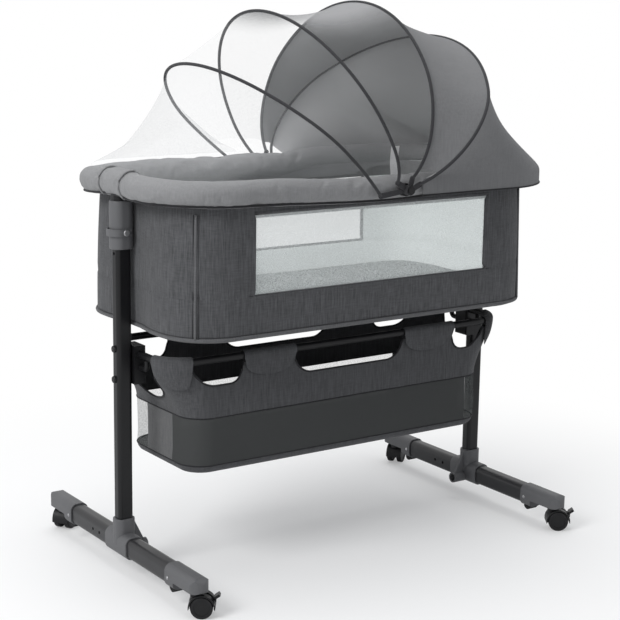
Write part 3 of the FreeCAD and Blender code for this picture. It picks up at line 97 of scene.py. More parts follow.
world = bpy.data.worlds.new("studio")
scene.world = world
world.use_nodes = True
nodes = world.node_tree.nodes
links = world.node_tree.links
nodes.clear()
path = nodes.new("ShaderNodeLightPath")
seen = nodes.new("ShaderNodeMath")
seen.operation = "MAXIMUM"
links.new(path.outputs["Is Camera Ray"], seen.inputs[0])
links.new(path.outputs["Is Transmission Ray"], seen.inputs[1])
mirrored = nodes.new("ShaderNodeMath")
mirrored.operation = "MAXIMUM"
links.new(seen.outputs[0], mirrored.inputs[0])
links.new(path.outputs["Is Glossy Ray"], mirrored.inputs[1])
glow = nodes.new("ShaderNodeBackground")
glow.inputs["Color"].default_value = (0.95, 0.97, 1.0, 1.0)
glow.inputs["Strength"].default_value = 0.56
plain = nodes.new("ShaderNodeBackground")
plain.inputs["Color"].default_value = (1.0, 1.0, 1.0, 1.0)
plain.inputs["Strength"].default_value = 1.0
mix = nodes.new("ShaderNodeMixShader")
sky = nodes.new("ShaderNodeOutputWorld")
links.new(mirrored.outputs[0], mix.inputs[0])
links.new(glow.outputs[0], mix.inputs[1])
links.new(plain.outputs[0], mix.inputs[2])
links.new(mix.outputs[0], sky.inputs["Surface"])

paper_half = 9.0
paper_grid = bmesh.new()
bmesh.ops.create_grid(paper_grid, x_segments=1, y_segments=1, size=paper_half)
floor_mesh = bpy.data.meshes.new("floor")
paper_grid.to_mesh(floor_mesh)
paper_grid.free()
floor = bpy.data.objects.new("floor", floor_mesh)
scene.collection.objects.link(floor)
paper = bpy.data.materials.new("white_paper")
paper.use_nodes = True
nodes = paper.node_tree.nodes
links = paper.node_tree.links
nodes["Principled BSDF"].inputs["Base Color"].default_value = (0.90, 0.90, 0.90, 1.0)
nodes["Principled BSDF"].inputs["Roughness"].default_value = 0.95
nodes["Principled BSDF"].inputs["Specular IOR Level"].default_value = 0.0
place = nodes.new("ShaderNodeTexCoord")
reach = nodes.new("ShaderNodeVectorMath")
reach.operation = "LENGTH"
fade = nodes.new("ShaderNodeMapRange")
fade.interpolation_type = "SMOOTHSTEP"
fade.inputs["From Min"].default_value = 0.35
fade.inputs["From Max"].default_value = 1.25
fade.inputs["To Min"].default_value = 0.25
fade.inputs["To Max"].default_value = 1.0
path = nodes.new("ShaderNodeLightPath")
share = nodes.new("ShaderNodeMath")
share.operation = "MULTIPLY"
white = nodes.new("ShaderNodeEmission")
white.inputs["Color"].default_value = (1.0, 1.0, 1.0, 1.0)
white.inputs["Strength"].default_value = 1.0
mix = nodes.new("ShaderNodeMixShader")
links.new(place.outputs["Object"], reach.inputs[0])
links.new(reach.outputs["Value"], fade.inputs["Value"])
links.new(fade.outputs[0], share.inputs[0])
links.new(path.outputs["Is Camera Ray"], share.inputs[1])
links.new(share.outputs[0], mix.inputs[0])
links.new(nodes["Principled BSDF"].outputs[0], mix.inputs[1])
links.new(white.outputs[0], mix.inputs[2])
links.new(mix.outputs[0], nodes["Material Output"].inputs["Surface"])
floor_mesh.materials.append(paper)


# Stand: legs and T feet of painted steel tube pushed into grey mouldings, on black twin-wheel castors.
# The CAD shapes stay, and each finish is a grain group with its own values, so that grain keeps its size.
def finish_group():
    """Fine surface grain: colour drift, grain height and roughness, in metres of the object."""
    group = bpy.data.node_groups.new("surface_grain", "ShaderNodeTree")
    sockets = group.interface
    sockets.new_socket("Color", in_out="INPUT", socket_type="NodeSocketColor")
    sockets.new_socket("Grain", in_out="INPUT", socket_type="NodeSocketFloat")
    sockets.new_socket("Drift", in_out="INPUT", socket_type="NodeSocketFloat")
    sockets.new_socket("Color", in_out="OUTPUT", socket_type="NodeSocketColor")
    sockets.new_socket("Height", in_out="OUTPUT", socket_type="NodeSocketFloat")
    sockets.new_socket("Wear", in_out="OUTPUT", socket_type="NodeSocketFloat")
    add = group.nodes.new
    source = add("NodeGroupInput")
    sink = add("NodeGroupOutput")
    place = add("ShaderNodeTexCoord")
    grain = add("ShaderNodeTexNoise")
    grain.inputs["Detail"].default_value = 3.0
    patch = add("ShaderNodeTexNoise")
    patch.inputs["Scale"].default_value = 14.0
    patch.inputs["Detail"].default_value = 5.0
    shade = add("ShaderNodeMapRange")
    shade.inputs["From Min"].default_value = 0.3
    shade.inputs["From Max"].default_value = 0.7
    shade.inputs["To Min"].default_value = 1.0
    tint = add("ShaderNodeHueSaturation")
    low = add("ShaderNodeMath")
    low.operation = "SUBTRACT"
    low.inputs[0].default_value = 1.0
    link = group.links.new
    link(place.outputs["Object"], grain.inputs["Vector"])
    link(place.outputs["Object"], patch.inputs["Vector"])
    link(source.outputs["Grain"], grain.inputs["Scale"])
    link(source.outputs["Drift"], low.inputs[1])
    link(patch.outputs["Fac"], shade.inputs["Value"])
    link(low.outputs[0], shade.inputs["To Max"])
    link(shade.outputs[0], tint.inputs["Value"])
    link(source.outputs["Color"], tint.inputs["Color"])
    link(tint.outputs["Color"], sink.inputs["Color"])
    link(grain.outputs["Fac"], sink.inputs["Height"])
    link(patch.outputs["Fac"], sink.inputs["Wear"])
    return group


grain_group = finish_group()


def hard_finish(name, color, grain, drift, bump, roughness, gloss, metallic=0.0):
    made = bpy.data.materials.new(name)
    made.use_nodes = True
    tree = made.node_tree
    shader = tree.nodes["Principled BSDF"]
    group = tree.nodes.new("ShaderNodeGroup")
    group.node_tree = grain_group
    group.inputs["Color"].default_value = (*color, 1.0)
    group.inputs["Grain"].default_value = grain
    group.inputs["Drift"].default_value = drift
    relief = tree.nodes.new("ShaderNodeBump")
    relief.inputs["Strength"].default_value = 0.35
    relief.inputs["Distance"].default_value = bump
    spread = tree.nodes.new("ShaderNodeMapRange")
    spread.inputs["To Min"].default_value = roughness - 0.07
    spread.inputs["To Max"].default_value = roughness + 0.07
    tree.links.new(group.outputs["Color"], shader.inputs["Base Color"])
    tree.links.new(group.outputs["Height"], relief.inputs["Height"])
    tree.links.new(relief.outputs["Normal"], shader.inputs["Normal"])
    tree.links.new(group.outputs["Wear"], spread.inputs["Value"])
    tree.links.new(spread.outputs[0], shader.inputs["Roughness"])
    shader.inputs["Specular IOR Level"].default_value = gloss
    shader.inputs["Metallic"].default_value = metallic
    return made


finishes = {
    "leg_steel": hard_finish("black_paint", (0.006, 0.006, 0.007), 900, 0.15, 0.0002, 0.34, 0.30),
    "frame_steel": hard_finish("frame_paint", (0.005, 0.005, 0.006), 900, 0.15, 0.0002, 0.42, 0.28),
    "foot_steel": hard_finish("foot_paint", (0.022, 0.022, 0.024), 1100, 0.12, 0.0002, 0.36, 0.35),
    "grey_plastic": hard_finish("grey_moulding", (0.105, 0.106, 0.111), 1500, 0.10, 0.0003, 0.52, 0.4),
    "collar_plastic": hard_finish("collar_moulding", (0.105, 0.106, 0.111), 1500, 0.10, 0.0003, 0.50, 0.4),
    "black_plastic": hard_finish("black_moulding", (0.006, 0.006, 0.007), 1500, 0.15, 0.0003, 0.40, 0.30),
    "wheel_rubber": hard_finish("wheel_tread", (0.008, 0.008, 0.009), 700, 0.25, 0.0004, 0.55, 0.30),
    "pad_rubber": hard_finish("pad_black", (0.010, 0.010, 0.011), 700, 0.2, 0.0004, 0.75, 0.3),
    "fastener": hard_finish("zinc", (0.42, 0.42, 0.43), 2200, 0.2, 0.0001, 0.34, 0.5, 0.9),
    "board": hard_finish("board_cover", (0.045, 0.045, 0.048), 1200, 0.15, 0.0003, 0.7, 0.3),
}
for entry in frame["record"]["subparts"]:
    if entry["material_slot"] in finishes:
        for holder in frame["nodes"][entry["node"]].material_slots:
            holder.material = finishes[entry["material_slot"]]
for dark in ("hub_pins", "frame_bolts"):
    for holder in frame["nodes"][dark].material_slots:
        holder.material = finishes["black_plastic"]


# Snap buttons: sprung zinc buttons, pressed as low domes, that show in both sides of each end cap and
# hold it on the foot tube.
button_radius = 0.0034
button_along = 0.196
button_height = 0.052
dome = Matrix.Diagonal((0.45, 1.0, 1.0, 1.0))
buttons = bmesh.new()
for side_name in ("left", "right"):
    for end_name, along in (("front", -button_along), ("rear", button_along)):
        low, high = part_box("end_cap_%s_%s" % (end_name, side_name))
        for cap_face in (low[0], high[0]):
            seat = Matrix.Translation((cap_face, along, button_height))
            bmesh.ops.create_uvsphere(buttons, u_segments=20, v_segments=12, radius=button_radius,
                                      matrix=seat @ dome)
for flat in buttons.faces:
    flat.smooth = True
button_mesh = bpy.data.meshes.new("snap_buttons")
buttons.to_mesh(button_mesh)
buttons.free()
button_mesh.materials.append(finishes["fastener"])
snap_buttons = bpy.data.objects.new("snap_buttons", button_mesh)
scene.collection.objects.link(snap_buttons)
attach(snap_buttons, "stand")


# Basket: a sling of heathered linen on the tube loop. Its bound edge hangs in scallops between tabs that
# fold over the tube and close on the outside. The lower band is dark mesh in front, with a linen panel at
# each end and clear mesh round the rest.
def cloth_group():
    """Woven cloth: crossing threads for height, and long slubs that lighten and darken the colour."""
    group = bpy.data.node_groups.new("woven_cloth", "ShaderNodeTree")
    sockets = group.interface
    sockets.new_socket("Color", in_out="INPUT", socket_type="NodeSocketColor")
    sockets.new_socket("Threads", in_out="INPUT", socket_type="NodeSocketFloat")
    sockets.new_socket("Heather", in_out="INPUT", socket_type="NodeSocketFloat")
    sockets.new_socket("Color", in_out="OUTPUT", socket_type="NodeSocketColor")
    sockets.new_socket("Height", in_out="OUTPUT", socket_type="NodeSocketFloat")
    add = group.nodes.new
    link = group.links.new
    source = add("NodeGroupInput")
    sink = add("NodeGroupOutput")
    place = add("ShaderNodeTexCoord")
    bands = []
    for way in ("Z", "DIAGONAL"):
        band = add("ShaderNodeTexWave")
        band.wave_type = "BANDS"
        band.bands_direction = way
        band.inputs["Distortion"].default_value = 1.2
        band.inputs["Detail"].default_value = 1.0
        link(place.outputs["Object"], band.inputs["Vector"])
        link(source.outputs["Threads"], band.inputs["Scale"])
        bands.append(band)
    height = add("ShaderNodeMath")
    height.operation = "ADD"
    link(bands[0].outputs["Fac"], height.inputs[0])
    link(bands[1].outputs["Fac"], height.inputs[1])
    slubs = []
    for stretch in ((420.0, 420.0, 30.0), (60.0, 60.0, 520.0)):
        draw = add("ShaderNodeMapping")
        draw.inputs["Scale"].default_value = stretch
        slub = add("ShaderNodeTexNoise")
        slub.inputs["Scale"].default_value = 1.0
        slub.inputs["Detail"].default_value = 3.0
        link(place.outputs["Object"], draw.inputs["Vector"])
        link(draw.outputs["Vector"], slub.inputs["Vector"])
        slubs.append(slub)
    both = add("ShaderNodeMath")
    both.operation = "MULTIPLY_ADD"
    both.inputs[1].default_value = 0.45
    link(slubs[1].outputs["Fac"], both.inputs[0])
    link(slubs[0].outputs["Fac"], both.inputs[2])
    centred = add("ShaderNodeMath")
    centred.operation = "SUBTRACT"
    centred.inputs[1].default_value = 0.725
    link(both.outputs[0], centred.inputs[0])
    scaled = add("ShaderNodeMath")
    scaled.operation = "MULTIPLY_ADD"
    scaled.inputs[2].default_value = 1.0
    link(centred.outputs[0], scaled.inputs[0])
    link(source.outputs["Heather"], scaled.inputs[1])
    tint = add("ShaderNodeHueSaturation")
    link(scaled.outputs[0], tint.inputs["Value"])
    link(source.outputs["Color"], tint.inputs["Color"])
    link(tint.outputs["Color"], sink.inputs["Color"])
    link(height.outputs[0], sink.inputs["Height"])
    return group


weave = cloth_group()


def cloth(name, color, threads, heather, bump, sheen=0.12, inside_with_painted_light=None):
    """A woven cloth; its back faces may take a lighter inside colour: painted light that stands in for
    light coming through the cloth.
    """
    made = bpy.data.materials.new(name)
    made.use_nodes = True
    tree = made.node_tree
    shader = tree.nodes["Principled BSDF"]
    group = tree.nodes.new("ShaderNodeGroup")
    group.node_tree = weave
    group.inputs["Color"].default_value = (*color, 1.0)
    group.inputs["Threads"].default_value = threads
    group.inputs["Heather"].default_value = heather
    relief = tree.nodes.new("ShaderNodeBump")
    relief.inputs["Strength"].default_value = 0.4
    relief.inputs["Distance"].default_value = bump
    tone = group.outputs["Color"]
    # Painted light: back faces take the lighter inside colour, standing in for light that comes through the
    # cloth.
    if inside_with_painted_light:
        back = tree.nodes.new("ShaderNodeNewGeometry")
        sides = tree.nodes.new("ShaderNodeMix")
        sides.data_type = "RGBA"
        sides.inputs[7].default_value = (*inside_with_painted_light, 1.0)
        tree.links.new(back.outputs["Backfacing"], sides.inputs[0])
        tree.links.new(tone, sides.inputs[6])
        tone = sides.outputs[2]
    tree.links.new(tone, shader.inputs["Base Color"])
    tree.links.new(group.outputs["Height"], relief.inputs["Height"])
    tree.links.new(relief.outputs["Normal"], shader.inputs["Normal"])
    shader.inputs["Roughness"].default_value = 0.9
    shader.inputs["Specular IOR Level"].default_value = 0.15
    shader.inputs["Sheen Weight"].default_value = sheen
    shader.inputs["Sheen Roughness"].default_value = 0.5
    return made


def net_group():
    """Fine net: the share that its threads cover, with a denser patch along the middle of the crown."""
    group = bpy.data.node_groups.new("net_cover", "ShaderNodeTree")
    sockets = group.interface
    sockets.new_socket("Cover", in_out="INPUT", socket_type="NodeSocketFloat")
    sockets.new_socket("Crown", in_out="INPUT", socket_type="NodeSocketFloat")
    sockets.new_socket("Alpha", in_out="OUTPUT", socket_type="NodeSocketFloat")
    add = group.nodes.new
    link = group.links.new
    source = add("NodeGroupInput")
    sink = add("NodeGroupOutput")
    place = add("ShaderNodeTexCoord")
    holes = add("ShaderNodeTexVoronoi")
    holes.feature = "DISTANCE_TO_EDGE"
    holes.inputs["Scale"].default_value = 560.0
    thread = add("ShaderNodeMapRange")
    thread.inputs["From Max"].default_value = 0.30
    thread.inputs["To Min"].default_value = 1.9
    thread.inputs["To Max"].default_value = 0.5
    across = add("ShaderNodeSeparateXYZ")
    side = add("ShaderNodeMath")
    side.operation = "ABSOLUTE"
    patch = add("ShaderNodeMapRange")
    patch.interpolation_type = "SMOOTHSTEP"
    patch.inputs["From Min"].default_value = 0.030
    patch.inputs["From Max"].default_value = 0.165
    patch.inputs["To Min"].default_value = 1.0
    patch.inputs["To Max"].default_value = 0.0
    dense = add("ShaderNodeMath")
    dense.operation = "MULTIPLY"
    total = add("ShaderNodeMath")
    total.operation = "MULTIPLY_ADD"
    total.use_clamp = True
    link(place.outputs["Object"], holes.inputs["Vector"])
    link(place.outputs["Object"], across.inputs["Vector"])
    link(holes.outputs["Distance"], thread.inputs["Value"])
    link(across.outputs["Y"], side.inputs[0])
    link(side.outputs[0], patch.inputs["Value"])
    link(patch.outputs[0], dense.inputs[0])
    link(source.outputs["Crown"], dense.inputs[1])
    link(thread.outputs[0], total.inputs[0])
    link(source.outputs["Cover"], total.inputs[1])
    link(dense.outputs[0], total.inputs[2])
    link(total.outputs[0], sink.inputs["Alpha"])
    return group


net_threads = net_group()


def net_cloth(name, color, cover, crown=0.0):
    made = bpy.data.materials.new(name)
    made.use_nodes = True
    tree = made.node_tree
    shader = tree.nodes["Principled BSDF"]
    shader.inputs["Base Color"].default_value = (*color, 1.0)
    shader.inputs["Roughness"].default_value = 0.9
    shader.inputs["Specular IOR Level"].default_value = 0.1
    group = tree.nodes.new("ShaderNodeGroup")
    group.node_tree = net_threads
    group.inputs["Cover"].default_value = cover
    group.inputs["Crown"].default_value = crown
    tree.links.new(group.outputs["Alpha"], shader.inputs["Alpha"])
    return made


def stations(long_count, corner_count, end_count):
    """Places round a rounded rectangle: side or corner number, and the share of it that is passed."""
    counts = (long_count, corner_count, end_count, corner_count) * 2
    return [(part, step / count) for part, count in enumerate(counts) for step in range(count)]


def spot(station, half_x, half_y, corner):
    """The point and the outward way at a station of a rounded rectangle, from the front's left end on."""
    part, share = station
    x, y = half_x - corner, half_y - corner
    middle = ((x, -y), (x, y), (-x, y), (-x, -y))[(part // 2) % 4]
    if part % 2:
        angle = math.radians(90 * (part // 2) - 90 + 90 * share)
        out = Vector((math.cos(angle), math.sin(angle), 0))
        return Vector((*middle, 0)) + out * corner, out
    ends = (((-x, -half_y), (x, -half_y)), ((half_x, -y), (half_x, y)),
            ((x, half_y), (-x, half_y)), ((-half_x, y), (-half_x, -y)))[part // 2]
    out = (Vector((0, -1, 0)), Vector((1, 0, 0)), Vector((0, 1, 0)), Vector((-1, 0, 0)))[part // 2]
    return Vector((*ends[0], 0)).lerp(Vector((*ends[1], 0)), share), out


def skin(name, rows, material, closed=True, keep=None, solid=False):
    """A smooth mesh through rows of points; keep picks the faces by row and column."""
    wide = len(rows[0])
    points = [tuple(point) for row in rows for point in row]
    faces = []
    for i in range(len(rows) - 1):
        for j in range(wide if closed else wide - 1):
            if keep is None or keep(i, j):
                k = (j + 1) % wide
                faces.append((i * wide + j, i * wide + k, (i + 1) * wide + k, (i + 1) * wide + j))
    mesh = bpy.data.meshes.new(name)
    mesh.from_pydata(points, [], faces)
    body = bmesh.new()
    body.from_mesh(mesh)
    bmesh.ops.delete(body, geom=[vert for vert in body.verts if not vert.link_faces], context="VERTS")
    bmesh.ops.remove_doubles(body, verts=body.verts, dist=1e-6)
    if solid:
        bmesh.ops.holes_fill(body, edges=[edge for edge in body.edges if edge.is_boundary], sides=wide)
        bmesh.ops.recalc_face_normals(body, faces=body.faces)
    for flat in body.faces:
        flat.smooth = True
    body.to_mesh(mesh)
    body.free()
    mesh.materials.append(material)
    made = bpy.data.objects.new(name, mesh)
    scene.collection.objects.link(made)
    return made


def piping(name, points, radius, material, closed=False):
    """A round cord along points."""
    count = len(points)
    rows = []
    for i, point in enumerate(points):
        before = points[i - 1] if i or closed else points[i]
        after = points[(i + 1) % count] if i < count - 1 or closed else points[i]
        along = (Vector(after) - Vector(before)).normalized()
        side = along.orthogonal() if abs(along.z) > 0.95 else along.cross(Vector((0, 0, 1))).normalized()
        side.normalize()
        other = along.cross(side)
        rows.append([Vector(point) + (side * math.cos(angle) + other * math.sin(angle)) * radius
                     for angle in (math.tau * n / 8 for n in range(8))])
    if closed:
        rows.append(rows[0])
    return skin(name, rows, material, solid=True)


basket_linen = cloth("basket_linen", (0.072, 0.073, 0.077), 420, 1.0, 0.0005)
panel_linen = cloth("basket_panel", (0.115, 0.116, 0.118), 420, 0.8, 0.0005)
basket_mesh = net_cloth("basket_mesh", (0.054, 0.056, 0.056), 1.85)
end_mesh = net_cloth("basket_end_mesh", (0.16, 0.17, 0.168), 0.22)
binding_dark = cloth("binding_dark", (0.020, 0.020, 0.022), 700, 0.4, 0.0003)
places = stations(110, 20, 30)
loop_plan = (0.392, 0.117, 0.065)
sling_plan = (0.346, 0.120, 0.050)
loop_height = 0.415
tube_wrap = 0.0092
basket_foot = 0.199
foot_bend = 0.016
seam_height = 0.305
edge_height = 0.402
tabs = [(0, -0.235, -0.120), (0, 0.135, 0.260), (4, 0.120, 0.235), (4, -0.260, -0.135)]
corner_tab = 0.36


def off_tab(station):
    """How far along the loop a place is from the nearest tab; nothing or less on a tab."""
    part, share = station
    point = spot(station, *loop_plan)[0]
    far = []
    bend = math.tau / 4 * loop_plan[2]
    for corner in (1, 3, 5, 7):
        middle = spot((corner, 0.5), *loop_plan)[0]
        away = abs(share - 0.5) * bend if part == corner else (point - middle).length
        far.append(away - corner_tab * bend)
    for side, low, high in tabs:
        if part == side:
            far.append(max(low - point.x, point.x - high))
    return min(far)


def top_edge(station):
    """Height of the basket's bound edge: up at the tabs, hanging in a scallop between them."""
    lowest, run = ((0.365, 0.036), (0.362, 0.065), (0.327, 0.065), (0.362, 0.065))[station[0] % 4]
    share = max(0.0, 1 - max(0.0, off_tab(station)) / run)
    lift = 1 - math.sqrt(1 - share ** 2)
    return lowest + (edge_height - lowest) * lift


def sling(station, z):
    """The basket's outer face: straight up to the seam, then leaning out to the loop."""
    point, out = spot(station, *sling_plan)
    goal = spot(station, *loop_plan)[0]
    flare = min(1.0, max(0.0, (z - seam_height) / 0.100))
    slack = 0.0035 * noise.noise(Vector((point.x * 9, point.y * 9, z * 7))) * (1 - flare)
    return point.lerp(goal, flare * flare * (3 - 2 * flare)) + out * slack + Vector((0, 0, z))


rows = []
for step in range(5):
    bend = math.radians(90 * step / 4)
    ring = []
    for station in places:
        point, out = spot(station, *sling_plan)
        rise = basket_foot + foot_bend * (1 - math.cos(bend))
        ring.append(point - out * foot_bend * (1 - math.sin(bend)) + Vector((0, 0, rise)))
    rows.append(ring)
for level in (0.24, 0.26, 0.28, seam_height):
    rows.append([sling(station, level) for station in places])
for step in range(1, 9):
    rows.append([sling(station, seam_height + (top_edge(station) - seam_height) * step / 8)
                 for station in places])


def band_part(j):
    """What the lower band is made of at a place: dark mesh, clear mesh, or the linen panel of an end."""
    part = places[j][0]
    if part == 4:
        return "clear"
    if part in (2, 6):
        y = spot(places[j], *sling_plan)[0].y * (1 if part == 6 else -1)
        return "mesh" if y < -0.050 else ("linen" if y < 0.045 else "clear")
    return "clear" if part in (1, 5) else "mesh"


basket = skin("basket_sling", rows, basket_linen, keep=lambda i, j: not 4 <= i < 8)
panels = skin("basket_panels", rows[4:9], panel_linen, keep=lambda i, j: band_part(j) == "linen")
windows = skin("basket_mesh", rows[4:9], basket_mesh, keep=lambda i, j: band_part(j) == "mesh")
clear = skin("basket_end_mesh", rows[4:9], end_mesh, keep=lambda i, j: band_part(j) == "clear")
edge = piping("basket_edge", rows[-1], 0.0020, binding_dark, closed=True)
seam = piping("basket_seam", rows[8], 0.0013, binding_dark, closed=True)
base_rim = piping("basket_foot_seam", rows[4], 0.0013, binding_dark, closed=True)
floor_middle = Vector((0, 0, basket_foot + 0.0002))
floor_cloth = skin("basket_floor", [[floor_middle] * len(places), rows[0]], basket_linen)
soft = [basket, panels, windows, clear, edge, seam, base_rim, floor_cloth]
flaps = []
tab_top = 0.411
straight = 2 * (loop_plan[0] - loop_plan[2])
for number, (part, low, high) in enumerate(tabs + [(corner, 0.14, 0.86) for corner in (1, 3, 5, 7)]):
    at_corner = part in (1, 3, 5, 7)
    tab_tip = 0.362 if at_corner else 0.374
    grid = []
    for n in range(25):
        along = low + (high - low) * n / 24
        if not at_corner:
            along = 0.5 + along / straight if part == 0 else 0.5 - along / straight
        station = (part, along)
        goal, away = spot(station, *loop_plan)
        column = []
        for step in range(13):
            angle = math.radians(205 - 205 * step / 12)
            rise = loop_height + tube_wrap * math.sin(angle)
            column.append(goal + away * tube_wrap * math.cos(angle) + Vector((0, 0, rise)))
        tip = tab_top - (tab_top - tab_tip) * (1 - abs(n / 12 - 1) ** 2.4) ** (1 / 2.4)
        for step in range(1, 9):
            z = loop_height + (tip - loop_height) * step / 8
            proud = tube_wrap if z > 0.408 else 0.0045 + 0.0047 * max(0.0, (z - 0.370) / 0.038)
            place = goal.lerp(sling(station, z), min(1.0, (loop_height - z) / 0.055))
            column.append(Vector((*place.xy, z)) + away * proud)
        grid.append(column)
    flap_rows = [[column[k] for column in grid] for k in range(len(grid[0]))]
    flap_cloth = binding_dark if part in (1, 5) else basket_linen
    flaps.append(skin("basket_tab_%d" % number, flap_rows, flap_cloth, closed=False))
for piece in soft + flaps:
    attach(piece, "stand")
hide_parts("basket_fabric")
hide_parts("basket_nets")
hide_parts("basket_tabs")


# Tub: heathered linen outside and a pale lining inside under a short grey band, sewn to the rim, with
# piped seams and a bound net window in each long side. The lining has a faint painted glow, which stands
# in for light that comes through the cloth.
tub_linen = cloth("tub_linen", (0.078, 0.079, 0.083), 400, 1.35, 0.0006)
piping_linen = cloth("tub_piping", (0.110, 0.111, 0.115), 500, 0.8, 0.0004)
seam_shade = cloth("tub_seam", (0.040, 0.040, 0.043), 700, 0.4, 0.0003)
rim_cloth = cloth("rim_cloth", (0.240, 0.241, 0.245), 520, 0.35, 0.0005)
lining = cloth("tub_lining", (0.86, 0.905, 0.89), 700, 0.2, 0.0003)
# Painted light: a faint emission makes the lining glow, standing in for light that comes through the cloth.
lining_painted_glow_shader = lining.node_tree.nodes["Principled BSDF"]
lining_painted_glow_shader.inputs["Emission Color"].default_value = (0.86, 0.91, 0.90, 1.0)
lining_painted_glow_shader.inputs["Emission Strength"].default_value = 0.16
window_net = net_cloth("window_net", (0.93, 0.97, 0.96), 0.33)
tub_plan = (0.396, 0.204, 0.100)
tub_bottom = 0.464
tub_bend = 0.009
side_half = 0.296
window_half = 0.266
window_low = 0.541
window_high = 0.691
window_face = 0.2005
seam_level = 0.5435
window_shares = {round((side_half + x) / (2 * side_half), 5) for x in (-window_half, window_half)}
long_shares = sorted({round(n / 80, 5) for n in range(80)} | window_shares)
wall = []
for part in range(8):
    if part in (0, 4):
        wall += [(part, share) for share in long_shares]
    else:
        count = 18 if part % 2 else 28
        wall += [(part, n / count) for n in range(count)]
levels = [0.473, 0.485, 0.505, 0.52, 0.533, window_low, seam_level, 0.56, 0.58, 0.60, 0.62, 0.64, 0.655,
          0.67, 0.682, window_high, 0.700, 0.712]


def ramp(value, low, high):
    """How far a value has come from low to high, from 0 to 1."""
    return min(1.0, max(0.0, (value - low) / (high - low)))


def wall_ring(level, inset, slack):
    """A ring of the tub's wall: cloth with some slack, its ends swelling low down, not behind the legs."""
    ring = []
    for station in wall:
        point, out = spot(station, *tub_plan)
        swell = math.sin(math.pi * ramp(level, 0.470, 0.705))
        ripple = noise.noise(Vector((point.x * 14, point.y * 14, level * 5)))
        taut = 0.25 if station[0] in (0, 4) and abs(point.x) < 0.275 and level > 0.535 else 1.0
        seam_pull = 0.0012 if abs(level - seam_level) < 0.002 else 0.0
        hang = max(0.0, 1 - (level - tub_bottom) / 0.24) * ramp(abs(point.x), side_half, 0.376)
        hang *= ramp(abs(point.y), 0.030, 0.080)
        shift = slack * (0.0022 * swell + 0.0014 * ripple) * taut + 0.007 * hang - seam_pull - inset
        ring.append(point + out * shift + Vector((0, 0, level)))
    return ring


def in_window(row_levels, i, j):
    """Whether a face of the wall lies in a window's opening."""
    if wall[j][0] not in (0, 4):
        return False
    slip = 0.0002
    corners = (wall[j], wall[(j + 1) % len(wall)])
    between_sides = all(abs(spot(place, *tub_plan)[0].x) < window_half + slip for place in corners)
    low, high = sorted((row_levels[i], row_levels[i + 1]))
    return between_sides and low > window_low - slip and high < window_high + slip


foot = [math.radians(90 * step / 5) for step in range(5)]
outer_levels = [tub_bottom + tub_bend * (1 - math.cos(angle)) for angle in foot] + levels
outer_rows = [wall_ring(z, tub_bend * (1 - math.sin(angle)), 0.0) for z, angle in zip(outer_levels, foot)]
outer_rows += [wall_ring(z, 0.0, 1.0) for z in levels]
tub = skin("tub_cover", outer_rows, tub_linen, keep=lambda i, j: not in_window(outer_levels, i, j))
pale_levels = levels[::-1]
band_levels = (0.712, 0.704, 0.696, 0.688, 0.680)
inside_with_painted_light = skin("tub_lining", [wall_ring(z, 0.0075, -0.6) for z in pale_levels], lining,
              keep=lambda i, j: not in_window(pale_levels, i, j))
band = skin("tub_valance", [wall_ring(z, 0.0110, -0.6) for z in band_levels], rim_cloth)
under_middle = Vector((0, 0, tub_bottom + 0.0002))
under = skin("tub_under", [[under_middle] * len(wall), outer_rows[0]], tub_linen)
cords = [piping("tub_foot_piping", wall_ring(0.4705, -0.0006, 0.0), 0.0034, piping_linen, closed=True),
         piping("tub_foot_seam", wall_ring(0.4752, -0.0002, 0.0), 0.0011, seam_shade, closed=True),
         piping("tub_seam_piping", wall_ring(seam_level, -0.0002, 0.0), 0.0013, seam_shade, closed=True)]
for part in (1, 3, 5, 7):
    for shift in (-0.030, 0.0, 0.030):
        point, out = spot((part, 0.5 + shift), *tub_plan)
        at_middle = shift == 0.0
        proud = 0.0085 if at_middle else 0.0075
        line = [point + out * (proud - 0.026 * (z - tub_bottom)) + Vector((0, 0, z)) for z in levels[:-2]]
        cords.append(piping("tub_corner_piping_%d_%d" % (part, round(shift * 100)), line,
                            0.0024 if at_middle else 0.0011, piping_linen if at_middle else seam_shade))
window_corners = [(-window_half, window_low), (window_half, window_low),
                  (window_half, window_high), (-window_half, window_high)]
for way, label in ((-1, "front"), (1, "rear")):
    border = []
    for (x0, z0), (x1, z1) in zip(window_corners, window_corners[1:] + window_corners[:1]):
        border += [Vector((x0 + (x1 - x0) * n / 12, way * (window_face + 0.0003), z0 + (z1 - z0) * n / 12))
                   for n in range(12)]
    cords.append(piping("window_binding_" + label, border, 0.0045, tub_linen, closed=True))
    grid = []
    for k in range(13):
        z = window_low + (window_high - window_low) * k / 12
        row = []
        for n in range(41):
            bulge = 0.002 * math.sin(math.pi * n / 40) * math.sin(math.pi * k / 12)
            row.append(Vector((window_half * (n / 20 - 1), way * (window_face - bulge), z)))
        grid.append(row)
    net = skin("window_sheer_" + label, grid, window_net, closed=False)
    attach(net, "bed")
    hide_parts("window_net_" + label)
for piece in [tub, inside_with_painted_light, band, under] + cords:
    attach(piece, "bed")
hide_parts("tub_shell")


